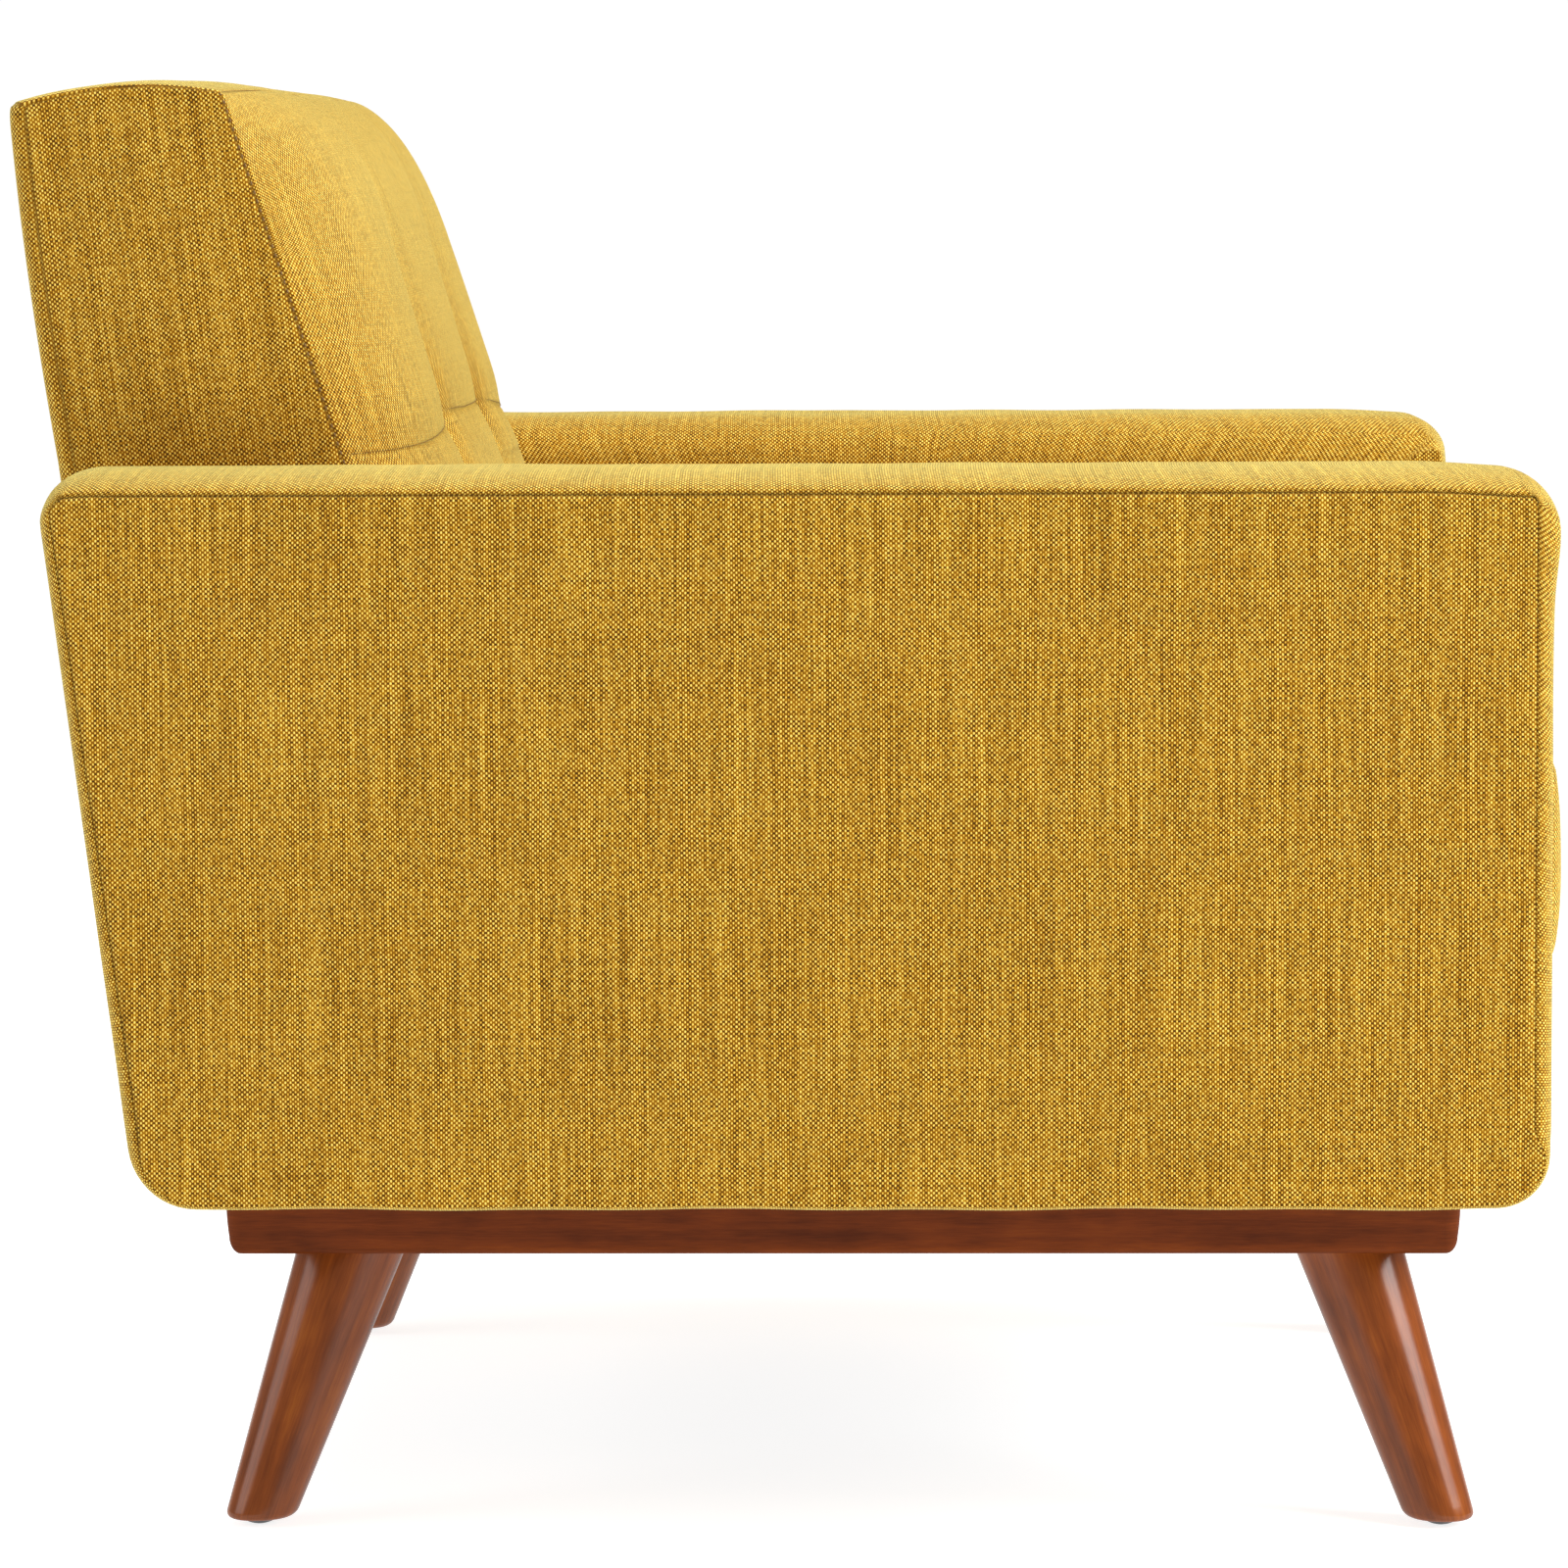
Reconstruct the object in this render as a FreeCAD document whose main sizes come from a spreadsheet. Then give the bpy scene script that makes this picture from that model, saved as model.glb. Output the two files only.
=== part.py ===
import FreeCAD, Part
import math
import os
import re
import Sketcher

# Single-seat sofa (lounge armchair) on splayed, turned wooden legs.
# Millimetres. +Z is up, the sitter faces -Y and the sitter's right hand is at -X.
# The origin is on the floor, under the middle of the whole object's box.

SIDES = {"right": -1, "left": 1}
ENDS = {"front": -1, "rear": 1}

# Every size that can be set by itself, with what it is.
SIZES = {
    # overall
    "wide": (1000, "over both arms"),
    "depth": (862, "front of the seat cushion to the rearmost point of the back"),
    "shell_low": (207, "underside of the upholstered shell, top of the wooden base"),
    "arm_high": (609, "top of the arms"),
    "back_high": (821, "top of the back"),
    "rake": (0.126, "backward lean of the rear faces, run over rise"),
    # arms
    "arm_wide": (150, "thickness of one arm"),
    "arm_corner": (36, "round of the lower corners, seen from the side"),
    "arm_top_round": (15, "round of the upper corners, seen from the side"),
    "arm_edge": (9, "round along the outer face's rim"),
    "outer_panel": (12, "board, wadding and cover on the outside of the arm"),
    "inner_pad": (15, "foam and cover on the inside of the arm"),
    "top_pad": (20, "foam and cover on top of the arm"),
    "front_pad": (20, "foam and cover on the front of arms and seat"),
    "rear_pad": (12, "board and cover on the rear of arms and back"),
    "arm_post": (28, "thickness of the arm's posts"),
    "arm_board": (18, "thickness of the arm's top board"),
    "arm_rail": (40, "height of the arm's bottom rail"),
    # seat frame and seat
    "seat_rail": (45, "thickness of the seat frame's rails"),
    "seat_rail_high": (81, "height of the seat frame's rails"),
    "clip_high": (6, "height of a spring clip"),
    "deck_pad": (10, "thickness of the felt deck over the springs"),
    "side_gap": (1, "gap between fixed upholstery and the arms"),
    "cushion_gap": (3, "gap between the loose cushion and what is round it"),
    "cushion_high": (145, "thickness of the seat cushion"),
    "cushion_proud": (19, "how far the cushion stands in front of the arms"),
    "cushion_corner": (22, "round of the cushion's upright corners"),
    "cushion_cover": (4, "wadding and cover round the cushion's foam"),
    "rest_gap": (0.5, "gap under the loose cushion"),
    # back
    "back_inset": (105, "arm's outer face to the side of the back, above the arms"),
    "back_thick": (210, "back's face to its rear, at the height of the arms"),
    "face_lean": (0.335, "backward lean of the back's face, run over rise"),
    "face_knee": (450, "height below which the back's face is upright"),
    "back_round": (25, "round of the back's upper rear edge"),
    "brow_round": (40, "round of the back's upper front edge"),
    "cheek_round": (22, "round of the back's upright front edges"),
    "back_top_pad": (25, "foam and cover on top of the back"),
    "stile_wide": (28, "width of the back's stiles"),
    "stile_deep": (60, "depth of the back's stiles"),
    "back_rail_deep": (30, "depth of the back's cross rails"),
    "back_rail_high": (45, "height of the back's cross rails"),
    "back_mid_rail": (335, "underside of the lower cross rail"),
    "web_wide": (50, "width of a back webbing strap"),
    "web_thick": (1.5, "thickness of a back webbing strap"),
    "web_space": (2, "room left for the straps behind the back's foam"),
    # wooden base and legs
    "base_low": (163, "underside of the wooden base"),
    "base_proud": (1.5, "how far the base's sides stand outside the seat frame"),
    "base_inset_front": (42, "arm's front to the base's front"),
    "base_inset_rear": (36, "lowest point of the rear to the base's rear"),
    "base_rail": (44, "width of the base's rails"),
    "base_corner": (14, "round of the base's upright corners"),
    "base_edge": (12, "round of the base's lower edge"),
    "block_long": (130, "corner block, across the sofa"),
    "block_deep": (100, "corner block, front to rear"),
    "block_high": (30, "corner block, thickness"),
    "leg_inset_side": (49, "side rail's inner face to the middle of a leg's top"),
    "leg_inset_front": (15, "front rail's inner face to the middle of a front leg's top"),
    "leg_inset_rear": (20, "rear rail's inner face to the middle of a rear leg's top"),
    "splay_side": (47.5, "outward run of a leg"),
    "splay_long": (53, "forward or rearward run of a leg"),
    "leg_top": (61, "diameter of a leg at its top"),
    "leg_foot": (38, "diameter of a leg at its foot"),
    "leg_spare": (30, "blank left on both ends before they are cut level"),
    "glide_high": (4, "height of a glide under the leg"),
    "glide_wide": (20, "diameter of a glide"),
    "glide_edge": (1.6, "chamfer round a glide"),
    "glide_nail": (2.4, "diameter of a glide's nail"),
    "nail_long": (18, "length of a glide's nail"),
    # fasteners and springs
    "fit_gap": (0.15, "radial gap of a fastener in its hole"),
    "hanger": (8, "diameter of the hanger bolts"),
    "hanger_down": (40, "hanger bolt's length in the leg"),
    "hanger_up": (26, "hanger bolt's length in the block"),
    "insert_wide": (12, "outer diameter of the threaded inserts"),
    "insert_long": (22, "length of the threaded inserts"),
    "screw": (6, "diameter of the wood screws"),
    "screw_head": (12, "diameter of the screw heads"),
    "screw_sunk": (12, "how deep the heads sit in the base rails"),
    "head_high": (4, "height of the screw and bolt heads"),
    "screw_bite": (45, "base screws' length in the seat frame"),
    "bolt": (8, "diameter of the arm bolts"),
    "bolt_head": (16, "diameter of the arm bolts' heads"),
    "bolt_bite": (70, "arm bolts' length in the arm's bottom rail"),
    "back_bite": (30, "back screws' length in the seat's rear rail"),
    "fix_first": (110, "seat's front rail to the first base screw"),
    "fix_last": (96, "last base screw to the seat's rear rail"),
    "bolt_shift": (45, "arm bolts' distance behind the base screws"),
    "wire": (3.8, "diameter of the seat springs' wire"),
    "bend": (11, "radius of the seat springs' bends"),
    "spring_wide": (48, "width of a seat spring"),
    "spring_step": (124, "from one seat spring to the next"),
    "clip_wide": (20, "spring clip, across the sofa"),
    "clip_long": (14, "spring clip, front to rear"),
    "tie_wire": (2.4, "diameter of the wires that tie the springs"),
    "tie_gap": (0.3, "gap between the springs and their tie wires"),
    "dust_cover": (1.5, "thickness of the dust cover"),
}
SPRINGS = 5
TIES = 2
STRAPS = 5
FASTENERS_PER_SIDE = 3

# Places worked out from the sizes, as expressions.
ARM_FRONT = "(cushion_proud - depth/2)"
ARM_IN = "(wide/2 - arm_wide)"
FRAME_IN = f"({ARM_IN} + inner_pad)"
FRAME_OUT = "(wide/2 - outer_panel)"
REAR_FOOT = (
    "(depth/2 - back_round - (back_high - back_round - shell_low)*rake"
    " + back_round*sqrt(1 + rake^2))"
)
RAIL_TOP = "(shell_low + seat_rail_high)"
DECK_LOW = f"({RAIL_TOP} + clip_high)"
DECK_TOP = f"({DECK_LOW} + deck_pad)"
FRAME_FRONT = f"({ARM_FRONT} + front_pad)"
SIDE_RAIL_FRONT = f"({FRAME_FRONT} + seat_rail)"
STILE_FRONT = "(rear_pad + stile_deep)"
FOAM_BACK = f"({STILE_FRONT} + web_space)"
BACK_TOP = "(back_high - back_top_pad)"
SEAT_HALF = f"({ARM_IN} - side_gap)"
STILE_OUT = f"({SEAT_HALF} - side_gap)"
STILE_IN = f"({STILE_OUT} - stile_wide)"
BASE_OUT = f"({FRAME_IN} + base_proud)"
BASE_IN = f"({BASE_OUT} - base_rail)"
BASE_FRONT = f"({ARM_FRONT} + base_inset_front)"
BASE_REAR = f"({REAR_FOOT} - base_inset_rear)"
LEG_X = f"({BASE_IN} - leg_inset_side)"
LEG_RISE = "(base_low - glide_high)"
LEG_LONG = f"(sqrt(splay_side^2 + splay_long^2 + {LEG_RISE}^2))"
FACE_Y = f"({REAR_FOOT} + (arm_high - shell_low)*rake - back_thick)"
BACK_HALF = "(wide/2 - back_inset)"
KNEE_Y = f"({FACE_Y} - (arm_high - face_knee)*face_lean)"


def words(text):
    """An expression with each size's name turned into a reference to its cell."""
    return re.sub(r"[a-z_]+", lambda m: "Sizes." + m.group() if m.group() in SIZES else m.group(), str(text))


def raked(offset, height):
    """Y of a plane that lies offset in front of the raked rear face, at a height."""
    return f"({REAR_FOOT} + (({height}) - shell_low)*rake - ({offset})*sqrt(1 + rake^2))"


def face(height):
    """Y of the back's leaning face at a height."""
    return f"({FACE_Y} + (({height}) - arm_high)*face_lean)"


def span(sign, low, high):
    """The range from low to high on one side of the middle: sign -1 is the right, 1 the left."""
    return (low, high) if sign > 0 else (f"-({high})", f"-({low})")


class Workshop:
    """The document, its sheet of sizes, and the few ways in which the pieces are made."""

    def __init__(self):
        self.doc = FreeCAD.newDocument("Sofa")
        self.sheet = self.doc.addObject("Spreadsheet::Sheet", "Sizes")
        for row, (name, (value, note)) in enumerate(SIZES.items(), start=1):
            self.sheet.set(f"A{row}", str(value))
            self.sheet.setAlias(f"A{row}", name)
            self.sheet.set(f"B{row}", note)
        self.doc.recompute()
        self.kept = []

    def value(self, text):
        return float(self.sheet.evalExpression(words(text)))

    def keep(self, piece, label):
        """Marks a finished sub-part, which is written to a file of its label's name."""
        piece.Label = label
        self.kept.append(piece)
        return piece

    def place(self, piece, x, y, z, turn="rotation(vector(0; 0; 1); 0)"):
        piece.setExpression("Placement", words(f"placement(vector({x}; {y}; {z}); {turn})"))

    def box(self, label, x, y, z):
        piece = self.doc.addObject("Part::Box", label)
        for prop, (low, high) in zip(("Length", "Width", "Height"), (x, y, z)):
            piece.setExpression(prop, words(f"({high}) - ({low})"))
        self.place(piece, x[0], y[0], z[0])
        return piece

    def prism(self, label, x, outline):
        """A body padded along X from an outline of (y, z) corners."""
        body = self.doc.addObject("PartDesign::Body", label)
        plane = next(f for f in body.Origin.OriginFeatures if f.Role == "YZ_Plane")
        sketch = body.newObject("Sketcher::SketchObject", label + "_outline")
        sketch.AttachmentSupport = (plane, "")
        sketch.MapMode = "FlatFace"
        sketch.setExpression("AttachmentOffset.Base.z", words(x[0]))
        corners = [FreeCAD.Vector(self.value(y), self.value(z), 0) for y, z in outline]
        count = len(corners)
        for i in range(count):
            sketch.addGeometry(Part.LineSegment(corners[i], corners[(i + 1) % count]), False)
        for i in range(count):
            sketch.addConstraint(Sketcher.Constraint("Coincident", i, 2, (i + 1) % count, 1))
        for i, (y, z) in enumerate(outline):
            for kind, text, number in (("DistanceX", y, corners[i].x), ("DistanceY", z, corners[i].y)):
                index = sketch.addConstraint(Sketcher.Constraint(kind, -1, 1, i, 1, number))
                sketch.setExpression(f"Constraints[{index}]", words(text))
        pad = body.newObject("PartDesign::Pad", label + "_pad")
        pad.Profile = sketch
        pad.setExpression("Length", words(f"({x[1]}) - ({x[0]})"))
        self.doc.recompute()
        return body

    def fillet(self, body, radius, test):
        """Rounds the edges of a body for which test(edge) is true."""
        names = [f"Edge{i}" for i, edge in enumerate(body.Tip.Shape.Edges, start=1) if test(edge)]
        if not names:
            raise RuntimeError(f"{body.Label}: no edge to round")
        before = body.Shape.Volume
        feature = body.newObject("PartDesign::Fillet", body.Name + "_round")
        feature.Base = (body.Tip if body.Tip != feature else feature.BaseFeature, names)
        feature.setExpression("Radius", words(radius))
        body.Tip = feature
        self.doc.recompute()
        if abs(body.Shape.Volume - before) < 1:
            raise RuntimeError(f"{body.Label}: the round did nothing")
        return body

    def rod(self, label, diameter, length, x, y, z, turn):
        piece = self.doc.addObject("Part::Cylinder", label)
        piece.setExpression("Radius", words(f"({diameter})/2"))
        piece.setExpression("Height", words(length))
        self.place(piece, x, y, z, turn)
        return piece

    def cut(self, label, base, tools):
        piece = self.doc.addObject("Part::Cut", label)
        piece.Base = base
        piece.Tool = self.join(label + "_tools", tools)
        return piece

    def common(self, label, base, tool):
        piece = self.doc.addObject("Part::Common", label)
        piece.Base = base
        piece.Tool = tool
        return piece

    def join(self, label, pieces):
        if len(pieces) == 1:
            return pieces[0]
        piece = self.doc.addObject("Part::MultiFuse", label)
        piece.Shapes = pieces
        return piece

    def group(self, label, pieces):
        """Identical pieces that share one file, as separate solids."""
        piece = self.doc.addObject("Part::Compound", label)
        piece.Links = pieces
        return self.keep(piece, label)


ALONG_X = "rotation(vector(0; 1; 0); 90)"
ALONG_Y = "rotation(vector(1; 0; 0); -90)"
ALONG_Z = "rotation(vector(0; 0; 1); 0)"


def near(a, b):
    return abs(a - b) < 0.01


def fastener_y(index, shift="0"):
    """Y of the base screws along the seat's side rails, or of the arm bolts behind them."""
    rear = raked(f"{STILE_FRONT} + seat_rail", "shell_low")
    step = f"({rear} - {SIDE_RAIL_FRONT} - fix_first - fix_last)/{FASTENERS_PER_SIDE - 1}"
    return f"({SIDE_RAIL_FRONT} + fix_first + {index}*{step} + {shift})"


# ---------------------------------------------------------------- wooden base and legs


def leg_ends(side, end):
    """Signs, top centre and foot centre of one leg, and the turn from upright to its axis."""
    sx = SIDES[side]
    sy = ENDS[end]
    top_x = f"({sx}*{LEG_X})"
    top_y = f"({BASE_FRONT} + base_rail + leg_inset_front)"
    if end == "rear":
        top_y = f"({BASE_REAR} - base_rail - leg_inset_rear)"
    foot_x = f"({top_x} + {sx}*splay_side)"
    foot_y = f"({top_y} + {sy}*splay_long)"
    axis = f"vector({sy}*splay_long; -{sx}*splay_side; 0)"
    turn = f"rotation({axis}; atan(hypot(splay_side; splay_long)/{LEG_RISE}))"
    return foot_x, foot_y, turn, sx, sy


def on_leg(side, end, along):
    """The point of a leg's axis that lies a length along it from its foot."""
    foot_x, foot_y, turn, sx, sy = leg_ends(side, end)
    share = f"(({along})/{LEG_LONG})"
    x = f"({foot_x} - {sx}*splay_side*{share})"
    y = f"({foot_y} - {sy}*splay_long*{share})"
    z = f"(glide_high + {LEG_RISE}*{share})"
    return x, y, z, turn


def leg(shop, side, end):
    name = f"leg_{end}_{side}"
    blank = shop.doc.addObject("Part::Cone", name + "_blank")
    taper = f"((leg_top - leg_foot)/2/{LEG_LONG})"
    blank.setExpression("Radius1", words(f"leg_foot/2 - leg_spare*{taper}"))
    blank.setExpression("Radius2", words(f"leg_top/2 + leg_spare*{taper}"))
    blank.setExpression("Height", words(f"{LEG_LONG} + 2*leg_spare"))
    shop.place(blank, *on_leg(side, end, "-leg_spare"))
    reach = "(leg_top + splay_side + splay_long)"
    x, y, z, turn = on_leg(side, end, "0")
    level = shop.box(
        name + "_level", (f"{x} - {reach}", f"{x} + {reach}"), (f"{y} - {reach}", f"{y} + {reach}"),
        ("glide_high", "base_low"),
    )
    turned = shop.common(name + "_turned", blank, level)
    bolt_hole = shop.rod(
        name + "_bolt_hole", "hanger + 2*fit_gap", "hanger_down + leg_spare",
        *on_leg(side, end, f"{LEG_LONG} - hanger_down"),
    )
    nail_hole = shop.rod(name + "_nail_hole", "glide_nail + 2*fit_gap", "nail_long + fit_gap", x, y, z, ALONG_Z)
    return shop.keep(shop.cut(name, turned, [bolt_hole, nail_hole]), name)


def glides(shop):
    """Hard plastic nail-on glides, one under each leg, with a flat face on the floor."""
    pieces = []
    for end in ENDS:
        for side in SIDES:
            name = f"glide_{end}_{side}"
            x, y, z, turn = on_leg(side, end, "0")
            dish = shop.doc.addObject("Part::Cylinder", name + "_dish")
            dish.setExpression("Radius", words("glide_wide/2"))
            dish.setExpression("Height", words("glide_high"))
            shop.place(dish, x, y, "0")
            shop.doc.recompute()
            soft = shop.doc.addObject("Part::Chamfer", name + "_soft")
            soft.Base = dish
            rim = next(
                i for i, e in enumerate(dish.Shape.Edges, start=1)
                if near(e.BoundBox.ZMax, 0) and len(e.Vertexes) == 1
            )
            edge = shop.value("glide_edge")
            soft.Edges = [(rim, edge, edge)]
            nail = shop.rod(name + "_nail", "glide_nail", "nail_long + glide_high/2", x, y, "glide_high/2", ALONG_Z)
            pieces.append(shop.join(name, [soft, nail]))
    return shop.group("foot_glides", pieces)


def base_side_rail(shop, side):
    """One side of the base: a full-length rail with rounded ends and lower edge."""
    name = f"base_side_rail_{side}"
    sign = SIDES[side]
    body = shop.prism(
        name + "_blank", span(sign, BASE_IN, BASE_OUT),
        [(BASE_FRONT, "base_low"), (BASE_REAR, "base_low"), (BASE_REAR, "shell_low"), (BASE_FRONT, "shell_low")],
    )
    outer = sign * shop.value(BASE_OUT)
    inner = sign * shop.value(BASE_IN)
    low = shop.value("base_low")
    shop.fillet(body, "base_corner", lambda e: (
        e.BoundBox.ZLength > 1 and near(e.CenterOfMass.x, outer)))
    shop.fillet(body, "base_edge", lambda e: (
        near(e.BoundBox.ZMax, low) and not near(e.CenterOfMass.x, inner)))
    holes = [screw_hole(shop, f"{name}_hole_{i}", sign, i) for i in range(FASTENERS_PER_SIDE)]
    sinks = [screw_sink(shop, f"{name}_sink_{i}", sign, i) for i in range(FASTENERS_PER_SIDE)]
    return shop.keep(shop.cut(name, body, holes + sinks), name)


def base_cross_rail(shop, end):
    """The front or rear of the base, between the side rails."""
    name = f"base_{end}_rail"
    if end == "front":
        outer, inner = BASE_FRONT, f"({BASE_FRONT} + base_rail)"
    else:
        outer, inner = BASE_REAR, f"({BASE_REAR} - base_rail)"
    low, high = (outer, inner) if end == "front" else (inner, outer)
    body = shop.prism(
        name, (f"-{BASE_IN}", BASE_IN),
        [(low, "base_low"), (high, "base_low"), (high, "shell_low"), (low, "shell_low")],
    )
    y_edge = shop.value(outer)
    shop.fillet(body, "base_edge", lambda e: (
        near(e.BoundBox.ZMax, shop.value("base_low")) and near(e.CenterOfMass.y, y_edge)))
    return shop.keep(body, name)


def corner_blocks(shop):
    """Blocks glued into the base's corners, drilled on the splay for the legs' inserts."""
    pieces = []
    for end in ENDS:
        for side, sign in SIDES.items():
            name = f"corner_block_{end}_{side}"
            near_rail = f"({BASE_FRONT} + base_rail)" if end == "front" else f"({BASE_REAR} - base_rail)"
            y = (near_rail, f"{near_rail} + block_deep") if end == "front" else (f"{near_rail} - block_deep", near_rail)
            block = shop.box(
                name + "_blank", span(sign, f"{BASE_IN} - block_long", BASE_IN), y,
                ("base_low", "base_low + block_high"),
            )
            hole = shop.rod(
                name + "_hole", "insert_wide + 2*fit_gap", "block_high*2 + 2*leg_spare",
                *on_leg(side, end, f"{LEG_LONG} - leg_spare"),
            )
            pieces.append(shop.cut(name, block, [hole]))
    return shop.group("base_corner_blocks", pieces)


def leg_hardware(shop):
    """Hanger bolts in the legs' tops and the threaded inserts that take them."""
    bolts = []
    inserts = []
    for end in ENDS:
        for side in SIDES:
            bolts.append(shop.rod(
                f"hanger_bolt_{end}_{side}", "hanger", "hanger_down + hanger_up",
                *on_leg(side, end, f"{LEG_LONG} - hanger_down"),
            ))
            name = f"leg_insert_{end}_{side}"
            sleeve = shop.rod(
                name + "_sleeve", "insert_wide", "insert_long + leg_spare",
                *on_leg(side, end, f"{LEG_LONG} - leg_spare"),
            )
            bore = shop.rod(
                name + "_bore", "hanger + 2*fit_gap", "insert_long + 3*leg_spare",
                *on_leg(side, end, f"{LEG_LONG} - 2*leg_spare"),
            )
            x, y, z, turn = on_leg(side, end, LEG_LONG)
            below = shop.box(
                name + "_below", (f"{x} - insert_long*2", f"{x} + insert_long*2"),
                (f"{y} - insert_long*2", f"{y} + insert_long*2"), (f"{z} - 3*leg_spare", "base_low"),
            )
            inserts.append(shop.cut(name, sleeve, [bore, below]))
    shop.group("leg_hanger_bolts", bolts)
    shop.group("leg_inserts", inserts)


# ---------------------------------------------------------------- fasteners of the frame


SCREW_X = f"({BASE_OUT} - base_rail/2)"


def screw_hole(shop, label, sign, index):
    return shop.rod(
        label, "screw + 2*fit_gap", "shell_low - base_low + screw_bite + fit_gap",
        f"{sign}*{SCREW_X}", fastener_y(index), "base_low", ALONG_Z,
    )


def screw_sink(shop, label, sign, index):
    return shop.rod(
        label, "screw_head + 2*fit_gap", "screw_sunk", f"{sign}*{SCREW_X}", fastener_y(index), "base_low", ALONG_Z,
    )


def base_screws(shop):
    """Screws that go up through the base's side rails into the seat frame."""
    pieces = []
    for side, sign in SIDES.items():
        for i in range(FASTENERS_PER_SIDE):
            name = f"base_screw_{side}_{i}"
            x = f"{sign}*{SCREW_X}"
            y = fastener_y(i)
            head = shop.rod(name + "_head", "screw_head", "head_high", x, y, "base_low + screw_sunk - head_high", ALONG_Z)
            shank = shop.rod(
                name + "_shank", "screw", "shell_low - base_low - screw_sunk + screw_bite", x, y,
                "base_low + screw_sunk", ALONG_Z,
            )
            pieces.append(shop.join(name, [head, shank]))
    return shop.group("base_screws", pieces)


BOLT_Z = "(shell_low + arm_rail/2)"
BOLT_IN = f"({FRAME_IN} - seat_rail)"


def bolt_hole(shop, label, sign, index):
    low, high = span(sign, BOLT_IN, f"{FRAME_IN} + bolt_bite + fit_gap")
    return shop.rod(
        label, "bolt + 2*fit_gap", f"({high}) - ({low})", low, fastener_y(index, "bolt_shift"), BOLT_Z, ALONG_X,
    )


def arm_bolts(shop):
    """Lag bolts that hold each arm to the seat frame from the inside."""
    pieces = []
    for side, sign in SIDES.items():
        for i in range(FASTENERS_PER_SIDE):
            name = f"arm_bolt_{side}_{i}"
            y = fastener_y(i, "bolt_shift")
            low, high = span(sign, BOLT_IN, f"{FRAME_IN} + bolt_bite")
            shank = shop.rod(name + "_shank", "bolt", f"({high}) - ({low})", low, y, BOLT_Z, ALONG_X)
            head_low = span(sign, f"{BOLT_IN} - head_high", BOLT_IN)[0]
            head = shop.rod(name + "_head", "bolt_head", "head_high", head_low, y, BOLT_Z, ALONG_X)
            pieces.append(shop.join(name, [shank, head]))
    return shop.group("arm_bolts", pieces)


BACK_SCREW_X = f"({STILE_IN} + stile_wide/2)"
BACK_SCREW_HEIGHTS = ("(shell_low + seat_rail_high/4)", "(shell_low + seat_rail_high*3/4)")


def back_screw_run(height):
    """Y at the stile's rear face and at the screw's point, for a screw at a height."""
    return raked("rear_pad", height), raked(f"{STILE_FRONT} + back_bite", height)


def back_screw_hole(shop, label, sign, height):
    rear, point = back_screw_run(height)
    return shop.rod(
        label, "screw + 2*fit_gap", f"({rear}) - ({point}) + 2*rear_pad", f"{sign}*{BACK_SCREW_X}",
        f"({point}) - fit_gap", height, ALONG_Y,
    )


def back_screws(shop):
    """Screws through the back's stiles into the seat's rear rail, heads sunk in the stiles."""
    pieces = []
    for side, sign in SIDES.items():
        for i, height in enumerate(BACK_SCREW_HEIGHTS):
            rear, point = back_screw_run(height)
            pieces.append(shop.rod(
                f"back_screw_{side}_{i}", "screw", f"({rear}) - ({point}) - head_high",
                f"{sign}*{BACK_SCREW_X}", point, height, ALONG_Y,
            ))
    return shop.group("back_screws", pieces)


# ---------------------------------------------------------------- seat frame


def seat_rails(shop):
    """The hardwood seat frame: front, rear and side rails."""
    front = shop.box(
        "seat_front_rail", (f"-{FRAME_IN}", FRAME_IN), (FRAME_FRONT, SIDE_RAIL_FRONT), ("shell_low", RAIL_TOP),
    )
    shop.keep(front, "seat_front_rail")
    rear_front = f"({STILE_FRONT} + seat_rail)"
    rear = shop.prism(
        "seat_rear_rail_blank", (f"-{FRAME_IN}", FRAME_IN),
        [
            (raked(rear_front, "shell_low"), "shell_low"), (raked(STILE_FRONT, "shell_low"), "shell_low"),
            (raked(STILE_FRONT, RAIL_TOP), RAIL_TOP), (raked(rear_front, RAIL_TOP), RAIL_TOP),
        ],
    )
    holes = [
        back_screw_hole(shop, f"rear_rail_hole_{side}_{i}", sign, height)
        for side, sign in SIDES.items() for i, height in enumerate(BACK_SCREW_HEIGHTS)
    ]
    shop.keep(shop.cut("seat_rear_rail", rear, holes), "seat_rear_rail")
    for side, sign in SIDES.items():
        name = f"seat_side_rail_{side}"
        body = shop.prism(
            name + "_blank", span(sign, BOLT_IN, FRAME_IN),
            [
                (SIDE_RAIL_FRONT, "shell_low"), (raked(rear_front, "shell_low"), "shell_low"),
                (raked(rear_front, RAIL_TOP), RAIL_TOP), (SIDE_RAIL_FRONT, RAIL_TOP),
            ],
        )
        tools = [screw_hole(shop, f"{name}_screw_{i}", sign, i) for i in range(FASTENERS_PER_SIDE)]
        tools += [bolt_hole(shop, f"{name}_bolt_{i}", sign, i) for i in range(FASTENERS_PER_SIDE)]
        shop.keep(shop.cut(name, body, tools), name)


def spring_line(shop):
    """First and last run of a seat spring, the number of bends, and the height of the wire."""
    first = shop.value(f"{FRAME_FRONT} + seat_rail/2")
    last = shop.value(raked(f"{STILE_FRONT} + seat_rail/2", RAIL_TOP))
    bends = int((last - first) / (2 * shop.value("bend")))
    start = first + ((last - first) - bends * 2 * shop.value("bend")) / 2
    return start, bends, shop.value(f"{RAIL_TOP} + clip_high/2")


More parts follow.
